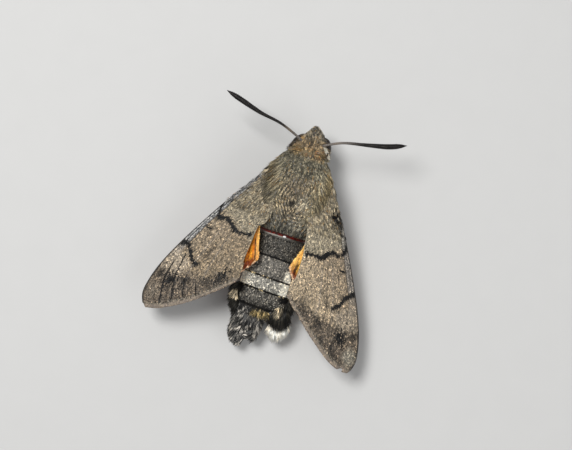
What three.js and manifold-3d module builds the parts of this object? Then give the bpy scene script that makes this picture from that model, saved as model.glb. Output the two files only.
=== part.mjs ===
// A hummingbird hawk moth at rest, life size, standing on its six feet with its wings swept back.
// Millimetres. X points to the moth's left, Y to its tail and Z up, and the floor is Z = 0.
// The moth is laid out from the waist, where the thorax meets the abdomen, and is then shifted so
// that the middle of its box stands on the origin.
import * as THREE from "three";
import { mergeVertices } from "three/addons/utils/BufferGeometryUtils.js";
import Module from "manifold-3d";

const wasm = await Module();
wasm.setup();

// Driving dimensions in millimetres, angles in degrees.
const gap = 0.3; // between two pieces that meet
const waistAt = [-0.5, 0.25]; // X and Y of the waist once the moth stands on the origin
const bodySides = 26; // corners of a section of the body

// Each station of the body: Y, half width, top and bottom.
const thoraxStations = [
  [-8.75, 2.2, 7.0, 3.6],
  [-8.2, 2.9, 7.6, 3.0],
  [-6.9, 3.65, 8.35, 2.4],
  [-5.2, 3.95, 8.7, 2.2],
  [-3.6, 3.95, 8.6, 2.2],
  [-2.0, 3.65, 8.2, 2.3],
  [-0.8, 3.25, 7.7, 2.4],
  [0.0, 2.95, 7.1, 2.5],
];
const thoraxSquareness = 2.3; // 2 is an ellipse, more is squarer

const headStations = [
  [-9.1, 1.75, 6.9, 3.7],
  [-9.8, 1.85, 7.0, 3.4],
  [-10.6, 1.7, 6.8, 3.2],
  [-11.3, 1.35, 6.3, 3.3],
  [-11.9, 0.85, 5.7, 3.6],
  [-12.35, 0.25, 5.1, 4.3],
];
const headSquareness = 2.1;
const headYaw = 4; // the head looks a little to the moth's left
const neckAt = [0, -8.9];

const eye = { across: 0.9, along: 0.95, tall: 1.08, at: [1.37, -9.95, 5.15], inner: 1.2 };

const palp = {
  thick: 0.34,
  taper: [0.6, 0.9, 1, 0.95, 0.75, 0.35], // shares of the thickness from root to tip
  points: [[0.88, -10.1, 3.4], [0.88, -11.0, 2.85], [0.74, -11.75, 3.3], [0.5, -12.1, 4.4]],
};

// The coiled tongue: Y and Z of its middle, and its radii in and out.
const coil = { at: [-10.85, 2.65], tube: 0.25, inner: 0.34, outer: 0.76, turns: 2.1, start: 0.4 };

// Centre line of each feeler from its socket to its tip, in the moth's own directions.
const feelerRadius = { base: 0.25, middle: 0.26, club: 0.35, tip: 0.07, middleAt: 0.45, clubAt: 0.8 };
const feelerSteps = 14;
const feelerPoints = {
  left: [
    [1.15, -10.2, 6.0], [1.5, -10.68, 6.5], [3.77, -11.54, 7.0],
    [6.23, -11.99, 7.2], [8.46, -12.63, 7.3], [10.5, -13.18, 7.2],
  ],
  right: [
    [-1.15, -10.3, 6.0], [-1.6, -10.8, 6.5], [-3.33, -11.55, 7.0],
    [-5.83, -12.08, 7.2], [-8.02, -12.59, 7.3], [-9.96, -13.35, 7.2],
  ],
};

// The abdomen's centre line, and its half width and half height along it.
const abdomen = {
  path: [[0, 0.3, 3.85], [0, 2.5, 3.8], [0, 4.6, 3.5], [0, 6.4, 3.05], [0, 7.6, 2.68], [0, 8.6, 2.35]],
  halfWidth: [2.8, 3.05, 3.1, 3.05, 2.85, 2.45],
  halfHeight: [2.25, 2.3, 2.2, 2.0, 1.7, 1.35],
  squareness: 2.3,
  bands: [2.3, 4.3, 5.5, 7.4], // Y on the centre line of the rear edge of each band
  step: 0.1, // each band's rear edge stands over the next one
};

// The forewing in its own frame: along the sweep from the hinge, and across it to the front edge.
const hingeAt = [2.8, -5.5];
const sweep = { left: 31.5, right: 28 };
const plate = 0.5; // thickness of a wing
// The lie of the wings: the height of the front edge, its fall to the tip, and the rise to the rear.
const wingTop = { costa: 5.4, drop: 0.1, bow: 0.0028, rise: 2.9, roll: 3.2, front: 1.6, chord: 7.1 };
// Each vein: its share of the way from front to rear, where it starts and how far it stands out.
const forewing = {
  front: [[-0.6, 1.45], [5.5, 1.65], [11.3, 1.6], [15.4, 1.25], [18.2, 0.5], [19.4, -0.4], [19.8, -1.5]],
  rear: [[0.3, -1.0], [4.3, -2.65], [7.0, -3.95], [9.6, -5.55]],
  margin: [[19.8, -1.5], [19.2, -2.5], [17.2, -3.75], [14.1, -5.05], [11.4, -5.6], [9.6, -5.55]],
  veins: [
    [0.05, 0, 0.2], [0.14, 0, 0.16], [0.25, 0.42, 0.14], [0.38, 0.42, 0.14],
    [0.51, 0.42, 0.14], [0.64, 0.42, 0.14], [0.78, 0.1, 0.16], [0.93, 0, 0.16],
  ],
  columns: 12,
};
const hindwingDrop = 1.05; // the hindwing lies this far under the forewing
const hindwing = {
  front: [[1.6, -0.2], [5, 0.45], [10, 0.3], [13.2, -0.8], [14.2, -2.3]],
  rear: [[1.9, -1.3], [4.6, -3.15], [6.3, -4.75], [7.4, -5.3]],
  margin: [[14.2, -2.3], [13.0, -3.8], [11.2, -4.7], [9.0, -4.95], [7.4, -5.3]],
  veins: [[0.1, 0, 0.12], [0.3, 0.35, 0.1], [0.48, 0.35, 0.1], [0.66, 0.2, 0.1], [0.84, 0, 0.12]],
  columns: 9,
};
const veinHalfWidth = 0.03; // as a share of the way from front to rear
const veinRise = 0.1; // share of the wing's length over which a vein reaches its height
const veinBelow = 0.4; // share of a vein's height that shows on the underside

// Joints of each leg on the moth's left: hip, knee, ankle and toe.
const legJoints = {
  fore: [[1.0, -6.8, 3.6], [1.8, -8.5, 2.6], [1.4, -9.9, 1.15], [0.85, -11.4, 0.2]],
  mid: [[1.2, -4.8, 3.2], [3.45, -4.9, 2.4], [4.35, -3.2, 1.05], [5.1, -0.8, 0.2]],
  hind: [[1.3, -2.6, 3.2], [3.4, -1.3, 2.3], [4.9, 1.2, 1.1], [6.4, 4.2, 0.2]],
};
const legRadius = { hip: 0.46, knee: 0.34, ankle: 0.28, toe: 0.25 };
const soleAt = { share: 0.6, rise: 0.04 }; // where the foot comes down between ankle and toe

// The tail fan lies to the moth's left: its core, and layers of locks that grow from it. Roots and
// tips are given as X from the right end of a layer to the left, and sway bends the tips inwards.
const tailCore = {
  path: [[0.6, 8.95, 2.3], [0.95, 9.8, 2.05], [1.0, 10.7, 1.85]],
  halfWidth: [1.75, 2.0, 1.5],
  halfHeight: [1.15, 1.1, 0.65],
  squareness: 2.2,
};
const tailLocks = {
  layers: 3, across: 10, layerStep: 0.42, rootY: 9.5, rootZ: 2.05,
  roots: [-0.5, 2.75], tips: [-0.75, 2.55], reach: 3.35, shorter: 0.32, width: 0.95, curl: 18, sway: 22,
};

// Tufts of locks along both sides of the abdomen, from front to rear: the heading's share to the
// side falls from out[0] to out[1].
const sideLocks = {
  count: 11, rootX: [2.8, 2.55], rootY: [4.9, 7.65], rootZ: [3.1, 2.5],
  out: [1.1, 1.1, 0.8], fall: 0.14, length: [2.1, 2.2, 1.9], width: 1.2, curl: 12,
};

// The longer lobe of locks at the right of the tail: roots, tips and lengths from inside to outside.
const rightLobe = {
  layers: 2, across: 7, layerStep: 0.55, rootY: 7.7, rootZ: 2.85,
  roots: [-1.85, -2.8], tips: [-1.9, -3.75], length: [3.1, 3.5, 2.5], width: 1.0, curl: 12,
};

// A lock in shares from root to tip, with its widths as shares and its thicknesses in millimetres.
const lockShape = {
  shares: [0, 0.25, 0.55, 0.8, 1],
  widths: [0.8, 1, 0.9, 0.6, 0.16],
  thicknesses: [0.5, 0.5, 0.42, 0.3, 0.12],
};

const surfaces = {
  fur: [0x6b6252, 0.9],
  scales: [0x77695a, 0.85],
  orange: [0xc4701c, 0.8],
  charcoal: [0x3a3936, 0.85],
  eye: [0x2a1a12, 0.25],
  horn: [0x2b2724, 0.6],
  leg: [0x8c8272, 0.8],
};

const radians = THREE.MathUtils.degToRad;
const toPoint = (p) => new THREE.Vector3(...p);

// Repeatable draws between 0 and 1.
let drawn = 7;
function draw() {
  drawn = (drawn * 16807) % 2147483647;
  return drawn / 2147483647;
}
const vary = (middle, spread) => middle + spread * (2 * draw() - 1);

// A closed solid of points and triangles, turned to face outwards.
function solidOf(points, faces) {
  let volume = 0;
  const side = new THREE.Vector3();
  for (let i = 0; i < faces.length; i += 3) {
    side.crossVectors(points[faces[i + 1]], points[faces[i + 2]]);
    volume += points[faces[i]].dot(side);
  }
  if (volume < 0) {
    faces.reverse();
  }
  const vertProperties = new Float32Array(points.flatMap((p) => p.toArray()));
  const triVerts = new Uint32Array(faces);
  return new wasm.Manifold(new wasm.Mesh({ numProp: 3, vertProperties, triVerts }));
}

// A three.js geometry as a solid.
function solidOfGeometry(geometry) {
  geometry.deleteAttribute("normal");
  geometry.deleteAttribute("uv");
  const merged = mergeVertices(geometry, 1e-4);
  const at = merged.attributes.position;
  const points = Array.from({ length: at.count }, (_, i) => new THREE.Vector3().fromBufferAttribute(at, i));
  return solidOf(points, Array.from(merged.index.array));
}

// The largest closed surface of a solid, which leaves out sealed hollows and loose scraps.
function largest(solid) {
  const bodies = solid.decompose();
  bodies.sort((a, b) => b.volume() - a.volume());
  return bodies[0];
}

const group = new THREE.Group();

function addMesh(name, solid, surface) {
  const mesh = largest(solid).getMesh();
  const at = new Float32Array(mesh.numVert * 3);
  for (let i = 0; i < mesh.numVert; i++) {
    at.set(mesh.vertProperties.subarray(i * mesh.numProp, i * mesh.numProp + 3), i * 3);
  }
  const geometry = new THREE.BufferGeometry();
  geometry.setAttribute("position", new THREE.BufferAttribute(at, 3));
  geometry.setIndex(new THREE.BufferAttribute(mesh.triVerts, 1));
  geometry.computeVertexNormals();
  const [color, roughness] = surfaces[surface];
  const made = new THREE.Mesh(geometry, new THREE.MeshStandardMaterial({ color, roughness, metalness: 0 }));
  made.name = name;
  group.add(made);
}

// A closed skin over equal rings of points, with a flat face on the first and the last ring.
function loft(rings) {
  const sides = rings[0].length;
  const last = (rings.length - 1) * sides;
  const faces = [];
  for (let r = 0; r < last; r += sides) {
    for (let i = 0; i < sides; i++) {
      const a = r + i;
      const b = r + ((i + 1) % sides);
      faces.push(a, b, b + sides, a, b + sides, a + sides);
    }
  }
  for (let i = 1; i + 1 < sides; i++) {
    faces.push(0, i + 1, i);
    faces.push(last, last + i, last + i + 1);
  }
  return solidOf(rings.flat(), faces);
}

// A section of the body: a squared ellipse around a centre, from two directions and half sizes.
function section(centre, across, up, halfWidth, halfHeight, squareness) {
  const ring = [];
  for (let i = 0; i < bodySides; i++) {
    const turn = (2 * Math.PI * i) / bodySides;
    const c = Math.cos(turn);
    const s = Math.sin(turn);
    const x = Math.sign(c) * Math.abs(c) ** (2 / squareness) * halfWidth;
    const z = Math.sign(s) * Math.abs(s) ** (2 / squareness) * halfHeight;
    ring.push(centre.clone().addScaledVector(across, x).addScaledVector(up, z));
  }
  return ring;
}

const evenLine = (points) => new THREE.CatmullRomCurve3(points.map(toPoint), false, "catmullrom");

// A straight length of the body over its stations, grown outwards by a margin.
function straightBody(stations, squareness, rings, grow = 0) {
  const widths = evenLine(stations.map((s) => [s[0], s[1], 0]));
  const heights = evenLine(stations.map((s) => [s[0], s[2], s[3]]));
  const forward = Math.sign(stations.at(-1)[0] - stations[0][0]);
  const across = new THREE.Vector3(1, 0, 0);
  const up = new THREE.Vector3(0, 0, 1);
  const made = [];
  for (let i = 0; i <= rings; i++) {
    const wide = widths.getPoint(i / rings);
    const tall = heights.getPoint(i / rings);
    const end = i === 0 ? -1 : i === rings ? 1 : 0;
    const centre = new THREE.Vector3(0, wide.x + end * forward * grow, (tall.y + tall.z) / 2);
    const half = (tall.y - tall.z) / 2 + grow;
    made.push(section(centre, across, up, wide.y + grow, half, squareness));
  }
  return loft(made);
}

// Reads a list of values at a share from 0 to 1 along it.
function readAt(values, share) {
  const place = share * (values.length - 1);
  const low = Math.min(Math.floor(place), values.length - 2);
  return THREE.MathUtils.lerp(values[low], values[low + 1], place - low);
}

// A length of the body that bends along its path, with the rings raised as far as step says.
function bentBody({ path, halfWidth, halfHeight, squareness }, shares, step) {
  const curve = evenLine(path);
  const side = new THREE.Vector3(1, 0, 0);
  const made = shares.map((share, i) => {
    const heading = curve.getTangent(share);
    const up = new THREE.Vector3().crossVectors(side, heading).normalize();
    const half = readAt(halfHeight, share) + step(i);
    return section(curve.getPoint(share), side, up, readAt(halfWidth, share) + step(i), half, squareness);
  });
  return loft(made);
}

// A round tube along a curve, with a radius for each of its steps.
function tube(curve, radii, sides) {
  const steps = radii.length - 1;
  const frames = curve.computeFrenetFrames(steps, false);
  const rings = radii.map((radius, i) => {
    const centre = curve.getPointAt(i / steps);
    return Array.from({ length: sides }, (_, k) => {
      const turn = (2 * Math.PI * k) / sides;
      return centre.clone()
        .addScaledVector(frames.normals[i], Math.cos(turn) * radius)
        .addScaledVector(frames.binormals[i], Math.sin(turn) * radius);
    });
  });
  return loft(rings);
}

const smoothLine = (points) => new THREE.CatmullRomCurve3(points.map(toPoint));

function ellipsoid(centre, across, along, tall, grow = 0) {
  const ball = new THREE.SphereGeometry(1, 16, 10);
  ball.scale(across + grow, along + grow, tall + grow);
  ball.translate(...centre);
  return solidOfGeometry(ball);
}

// Turns a solid with the head, about the neck.
function withHead(solid) {
  return solid.translate([-neckAt[0], -neckAt[1], 0])
    .rotate([0, 0, headYaw])
    .translate([neckAt[0], neckAt[1], 0]);
}

const mirrored = ([x, y, z]) => [-x, y, z];
const sides = { left: (p) => p, right: mirrored };

function makeHead() {
  const core = straightBody(headStations, headSquareness, 12);
  const grown = withHead(straightBody(headStations, headSquareness, 12, gap));
  let head = core;
  for (const [side, place] of Object.entries(sides)) {
    const at = place(eye.at);
    const outward = side === "left" ? 1 : -1;
    const eyeball = ellipsoid(at, eye.across, eye.along, eye.tall).trimByPlane([outward, 0, 0], eye.inner);
    const socket = ellipsoid(at, eye.across, eye.along, eye.tall, gap);
    head = head.subtract(socket.trimByPlane([outward, 0, 0], eye.inner - gap));
    addMesh(`eye_${side}`, withHead(eyeball), "eye");
    const curve = smoothLine(palp.points.map(place));
    const radii = palp.taper.map((share) => share * palp.thick);
    addMesh(`palp_${side}`, withHead(tube(curve, radii, 8)).subtract(grown), "fur");
    const feeler = smoothLine(feelerPoints[side]);
    const thick = Array.from({ length: feelerSteps + 1 }, (_, i) => feelerRadiusAt(i / feelerSteps));
    addMesh(`antenna_${side}`, tube(feeler, thick, 8).subtract(grown), "horn");
  }
  addMesh("head", withHead(head), "fur");
  makeProboscis(grown);
}

function feelerRadiusAt(share) {
  const { base, middle, club, tip, middleAt, clubAt } = feelerRadius;
  if (share < middleAt) {
    return THREE.MathUtils.lerp(base, middle, share / middleAt);
  }
  if (share < clubAt) {
    return THREE.MathUtils.lerp(middle, club, (share - middleAt) / (clubAt - middleAt));
  }
  const past = (share - clubAt) / (1 - clubAt);
  return THREE.MathUtils.lerp(club, tip, past ** 2.2);
}

// The tongue coiled up under the face, as arcs that run a little into one another.
function makeProboscis(grown) {
  const arcs = 4;
  const steps = 7;
  const overlap = 1.04;
  let whole = null;
  for (let arc = 0; arc < arcs; arc++) {
    const points = Array.from({ length: steps + 1 }, (_, i) => {
      const share = (arc + (i / steps) * overlap) / arcs;
      const radius = THREE.MathUtils.lerp(coil.outer, coil.inner, Math.min(share, 1));
      const turn = share * coil.turns * 2 * Math.PI + coil.start;
      return [0, coil.at[0] + radius * Math.cos(turn), coil.at[1] + radius * Math.sin(turn)];
    });
    const made = tube(smoothLine(points), Array(steps + 1).fill(coil.tube), 6);
    whole = whole ? whole.add(made) : made;
  }
  addMesh("proboscis", withHead(whole).subtract(grown), "horn");
}

const thoraxGrown = straightBody(thoraxStations, thoraxSquareness, 18, gap);

function makeThorax() {
  addMesh("thorax", straightBody(thoraxStations, thoraxSquareness, 18), "fur");
}

// Shares along the abdomen at which a ring is set, with one on each side of every band's edge.
function abdomenRings() {
  const curve = evenLine(abdomen.path);
  const edgeHalf = 0.008; // the edge's own share of the length, to either side
  const shareAt = (y) => {
    let low = 0;
    let high = 1;
    for (let i = 0; i < 30; i++) {
      const middle = (low + high) / 2;
      if (curve.getPoint(middle).y < y) {
        low = middle;
      } else {
        high = middle;
      }
    }
    return low;
  };
  const shares = [0];
  const raised = [0];
  for (const y of abdomen.bands) {
    const edge = shareAt(y);
    shares.push((shares.at(-1) + edge) / 2, edge - edgeHalf, edge + edgeHalf);
    raised.push(0.4, 1, 0);
  }
  shares.push((shares.at(-1) + 1) / 2, 1);
  raised.push(0.5, 0);
  return { shares, raised };
}

function makeAbdomen() {
  const { shares, raised } = abdomenRings();
  let body = bentBody(abdomen, shares, (i) => raised[i] * abdomen.step);
  for (const side of [1, -1]) {
    for (let i = 0; i < sideLocks.count; i++) {
      body = body.add(sideLock(side, i / (sideLocks.count - 1)));
    }
  }
  for (let layer = 0; layer < rightLobe.layers; layer++) {
    for (let i = 0; i < rightLobe.across; i++) {
      body = body.add(lobeLock(layer, i / (rightLobe.across - 1)));
    }
  }
  addMesh("abdomen", body, "charcoal");
}

function sideLock(side, share) {
  const { rootX, rootY, rootZ, out, fall, length, width, curl } = sideLocks;
  return lock({
    root: [side * vary(readAt(rootX, share), 0.1), readAt(rootY, share), vary(readAt(rootZ, share), 0.4)],
    heading: [side * vary(readAt(out, share), 0.06), 1, -vary(fall, 0.1)],
    width: [0, 0.25, 1],
    length: vary(readAt(length, share), 0.15),
    wide: vary(width, 0.15),
    curl: side * vary(curl, 8),
  });
}

function lobeLock(layer, share) {
  const { layers, layerStep, roots, tips, rootY, rootZ, length, width, curl } = rightLobe;
  const level = layer - (layers - 1) / 2;
  const from = readAt(roots, share);
  const reach = readAt(length, share);
  return lock({
    root: [from, vary(rootY, 0.15), rootZ + level * layerStep],
    heading: [(readAt(tips, share) - from) / reach, 1, vary(level * 0.16 - 0.24, 0.05)],
    width: [1, 0, vary(-0.35, 0.3)],
    length: vary(reach, 0.2),
    wide: vary(width, 0.1),
    curl: vary(0, curl),
  });
}

// A flat lock of hair that tapers to its tip. Curl bends it about the direction of its width, and
// sway bends it about the direction of its thickness, both in degrees from root to tip.
function lock({ root, heading, width, length, wide, curl, sway = 0 }) {
  const going = toPoint(heading).normalize();
  const across = toPoint(width);
  across.addScaledVector(going, -across.dot(going)).normalize();
  const centre = toPoint(root);
  const { shares, widths, thicknesses } = lockShape;
  const rings = shares.map((share, i) => {
    const thin = new THREE.Vector3().crossVectors(going, across);
    if (i > 0) {
      const part = share - shares[i - 1];
      going.applyAxisAngle(across, radians(curl) * part);
      going.applyAxisAngle(thin, radians(sway) * part);
      across.applyAxisAngle(thin, radians(sway) * part);
      centre.addScaledVector(going, length * part);
      thin.crossVectors(going, across);
    }
    const w = (wide * widths[i]) / 2;
    const t = thicknesses[i] / 2;
    return [
      centre.clone().addScaledVector(across, w),
      centre.clone().addScaledVector(thin, t),
      centre.clone().addScaledVector(across, -w),
      centre.clone().addScaledVector(thin, -t),
    ];
  });
  return loft(rings);
}

// The tail fan: a short core with overlapping locks in layers, longest in the middle.
function makeTail() {
  const { layers, across, layerStep, rootY, rootZ, roots, tips } = tailLocks;
  let fan = bentBody(tailCore, [0, 0.35, 0.7, 1], () => 0);
  for (let layer = 0; layer < layers; layer++) {
    const level = layer - (layers - 1) / 2;
    for (let i = 0; i < across; i++) {
      const share = (i + 0.5 * (layer % 2)) / (across - 0.5);
      const from = readAt(roots, share);
      const aside = 2 * share - 1;
      const length = vary(tailLocks.reach * (1 - tailLocks.shorter * aside * aside), 0.15);
      fan = fan.add(lock({
        root: [from, vary(rootY, 0.1), rootZ + level * layerStep],
        heading: [(readAt(tips, share) - from) / length + 0.2 * aside, 1, level * 0.1 - 0.12],
        width: [1, 0, vary(0, 0.3)],
        length,
        wide: vary(tailLocks.width, 0.1),
        curl: vary(-8 * level, tailLocks.curl),
        sway: vary(-tailLocks.sway * aside, 6),
      }));
    }
  }
  addMesh("tail_fan", fan, "charcoal");
}

// The height of the forewing's middle over the floor, in the wing's own frame.
function wingHeight(along, across) {
  const { costa, drop, bow, rise, roll, front, chord } = wingTop;
  const inward = Math.max(front - across, -1);
  const roof = (1 - Math.exp(-inward / roll)) / (1 - Math.exp(-chord / roll));
  return costa - drop * along - bow * along * along + rise * roof;
}

// A wing over four edges: front and rear from root to margin, the root and the outer margin.
function wingSolid(wing, drop, side) {
  const flat = (points) => smoothLine(points.map(([s, w]) => [s, w, 0]));
  const front = flat(wing.front);
  const rear = flat(wing.rear);
  const margin = flat(wing.margin);
  const outward = side === "left" ? 1 : -1;
  const turn = radians(sweep[side]);

  // A point of the wing's plan: u from root to margin, v from front to rear.
  const planAt = (u, v) => {
    const between = (a, b, share) => a.clone().lerp(b, share);
    const alongEdges = between(front.getPointAt(u), rear.getPointAt(u), v);
    const tip = between(front.getPointAt(1), rear.getPointAt(1), v);
    return alongEdges.add(margin.getPointAt(v).sub(tip).multiplyScalar(u));
  };
  const placeAt = (u, v) => {
    const { x: along, y: across } = planAt(u, v);
    const x = hingeAt[0] + Math.sin(turn) * along + Math.cos(turn) * across;
    const y = hingeAt[1] + Math.cos(turn) * along - Math.sin(turn) * across;
    return new THREE.Vector3(outward * x, y, wingHeight(along, across) - drop);
  };
  const normalAt = (u, v) => {
    const h = 0.004;
    const du = placeAt(Math.min(u + h, 1), v).sub(placeAt(Math.max(u - h, 0), v));
    const dv = placeAt(u, Math.min(v + h, 1)).sub(placeAt(u, Math.max(v - h, 0)));
    const normal = du.cross(dv).normalize();
    return normal.z < 0 ? normal.negate() : normal;
  };

  // Rows run from root to margin: one on each vein, one on either side of it and one between.
  const plain = (v) => ({ v, start: 0, height: 0 });
  const rows = [plain(0)];
  for (const [v, start, height] of wing.veins) {
    const before = rows.at(-1).v;
    if (v - veinHalfWidth - before > 0.05) {
      rows.push(plain((before + v - veinHalfWidth) / 2));
    }
    rows.push(plain(v - veinHalfWidth), { v, start, height }, plain(v + veinHalfWidth));
  }
  rows.push(plain(1));

  const upper = [];
  const lower = [];
  const columns = wing.columns;
  for (const row of rows) {
    for (let i = 0; i <= columns; i++) {
      const u = i / columns;
      const at = placeAt(u, row.v);
      const normal = normalAt(u, row.v);
      const ridge = row.height * THREE.MathUtils.smoothstep(u, row.start, row.start + veinRise);
      upper.push(at.clone().addScaledVector(normal, plate / 2 + ridge));
      lower.push(at.clone().addScaledVector(normal, -plate / 2 - ridge * veinBelow));
    }
  }
  return solidOf([...upper, ...lower], plateFaces(rows.length, columns + 1));
}

// Triangles of a plate of rows and columns, alike on both faces, with walls round its edge.
function plateFaces(rows, columns) {
  const faces = [];
  const below = rows * columns;
  for (let r = 0; r + 1 < rows; r++) {
    for (let c = 0; c + 1 < columns; c++) {
      const a = r * columns + c;
      const b = a + 1;
      const d = a + columns;
      const e = d + 1;
      faces.push(a, b, e, a, e, d);
      faces.push(below + a, below + e, below + b, below + a, below + d, below + e);
    }
  }
  const count = (length, index) => Array.from({ length }, (_, i) => index(i));
  const edge = [
    ...count(columns - 1, (c) => c),
    ...count(rows - 1, (r) => r * columns + columns - 1),
    ...count(columns - 1, (c) => (rows - 1) * columns + columns - 1 - c),
    ...count(rows - 1, (r) => (rows - 1 - r) * columns),
  ];
  edge.forEach((a, i) => {
    const b = edge[(i + 1) % edge.length];
    faces.push(b, a, below + a, b, below + a, below + b);
  });
  return faces;
}

function makeWings() {
  for (const side of ["left", "right"]) {
    addMesh(`forewing_${side}`, wingSolid(forewing, 0, side).subtract(thoraxGrown), "scales");
    addMesh(`hindwing_${side}`, wingSolid(hindwing, hindwingDrop, side).subtract(thoraxGrown), "orange");
  }
}

// A leg of three pieces, parted at the knee and the ankle along the plane that halves the bend.
function makeLegs() {
  for (const [side, place] of Object.entries(sides)) {
    for (const [pair, joints] of Object.entries(legJoints)) {
      const [hip, knee, ankle, toe] = joints.map(place).map(toPoint);
      const atKnee = jointPlane(hip, knee, ankle);
      const atAnkle = jointPlane(knee, ankle, toe);
      const femur = legPiece([hip, knee], legRadius.hip, legRadius.knee);
      const tibia = legPiece([knee, ankle], legRadius.knee, legRadius.ankle);
      const sole = ankle.clone().lerp(toe, soleAt.share);
      sole.z = toe.z + soleAt.rise;
      const tarsus = legPiece([ankle, sole, toe], legRadius.ankle, legRadius.toe);
      addMesh(`leg_${pair}_${side}_femur`, cutBefore(femur, atKnee).subtract(thoraxGrown), "leg");
      addMesh(`leg_${pair}_${side}_tibia`, cutBefore(cutAfter(tibia, atKnee), atAnkle), "leg");
      const foot = cutAfter(tarsus, atAnkle).trimByPlane([0, 0, 1], 0);
      addMesh(`leg_${pair}_${side}_tarsus`, foot, "leg");
    }
  }
}

// The plane that halves the bend at a joint: its direction runs on from the first piece.
function jointPlane(before, joint, after) {
  const into = joint.clone().sub(before).normalize();
  const out = after.clone().sub(joint).normalize();
  const normal = into.add(out).normalize();
  return { normal, offset: normal.dot(joint) };
}

// What lies before or after a joint's plane, half a gap clear of it.
function cutBefore(solid, { normal, offset }) {
  return solid.trimByPlane(normal.clone().negate().toArray(), -offset + gap / 2);
}

function cutAfter(solid, { normal, offset }) {
  return solid.trimByPlane(normal.toArray(), offset + gap / 2);
}

// A tapered piece of a leg that runs past its joints, so that the joint planes can cut it.
function legPiece(points, startRadius, endRadius) {
  const going = points[1].clone().sub(points[0]).normalize();
  const line = [points[0].clone().addScaledVector(going, -startRadius), ...points.slice(1)];
  const straight = points.length === 2;
  if (straight) {
    line[1] = points[1].clone().addScaledVector(going, endRadius);
  }
  const steps = straight ? 3 : 6;
  const radiusAt = (_, i) => THREE.MathUtils.lerp(startRadius, endRadius, i / steps);
  return tube(new THREE.CatmullRomCurve3(line), Array.from({ length: steps + 1 }, radiusAt), 8);
}

makeHead();
makeThorax();
makeAbdomen();
makeTail();
makeWings();
makeLegs();
group.position.set(waistAt[0], waistAt[1], 0);

export default group;
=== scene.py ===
# A hummingbird hawk moth at rest, life size: body, eyes, feelers, mouth, wings, legs and tail.
# Places are millimetres from the waist, where the thorax meets the abdomen: x to the moth's left,
# y to its tail, z up from the floor. Colours are linear.
import math
import bpy
import numpy as np
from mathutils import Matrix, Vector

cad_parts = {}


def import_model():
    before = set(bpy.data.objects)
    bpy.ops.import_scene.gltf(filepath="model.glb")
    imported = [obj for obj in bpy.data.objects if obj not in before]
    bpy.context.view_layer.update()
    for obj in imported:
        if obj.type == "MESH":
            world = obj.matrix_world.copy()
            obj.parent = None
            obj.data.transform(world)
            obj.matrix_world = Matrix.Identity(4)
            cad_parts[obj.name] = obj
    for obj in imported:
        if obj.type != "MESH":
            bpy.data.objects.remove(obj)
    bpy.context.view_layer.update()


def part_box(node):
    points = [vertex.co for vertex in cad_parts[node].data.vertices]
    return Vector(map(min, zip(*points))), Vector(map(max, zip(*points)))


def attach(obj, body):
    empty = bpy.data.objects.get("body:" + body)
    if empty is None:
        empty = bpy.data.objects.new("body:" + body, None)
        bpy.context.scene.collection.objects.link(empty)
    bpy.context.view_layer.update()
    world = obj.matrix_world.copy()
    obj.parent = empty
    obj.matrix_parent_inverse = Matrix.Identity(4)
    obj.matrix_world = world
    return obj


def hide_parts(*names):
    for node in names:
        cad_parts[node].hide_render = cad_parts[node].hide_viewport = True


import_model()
mm = 0.001
thoraxLow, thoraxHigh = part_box("thorax")
waist = np.array([(thoraxLow.x + thoraxHigh.x) / 2, thoraxHigh.y, 0.0]) / mm


def world(points):  # from millimetres at the waist to metres in the frame
    return (np.asarray(points, float) + waist) * mm


# Camera, straight above the moth and turned as the picture was

camera = {"lens": 100, "sensor": 36, "at": (-0.014, -1.26, 178.2), "turn": 197.46}

bpy.ops.object.camera_add(location=world(camera["at"]), rotation=(0, 0, math.radians(camera["turn"])))
bpy.context.scene.camera = bpy.context.object
bpy.context.object.data.lens = camera["lens"]
bpy.context.object.data.sensor_width = camera["sensor"]
bpy.context.object.data.clip_start = 0.01


# Shader maths: a wire is a socket, and an expression on wires adds its nodes

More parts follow.
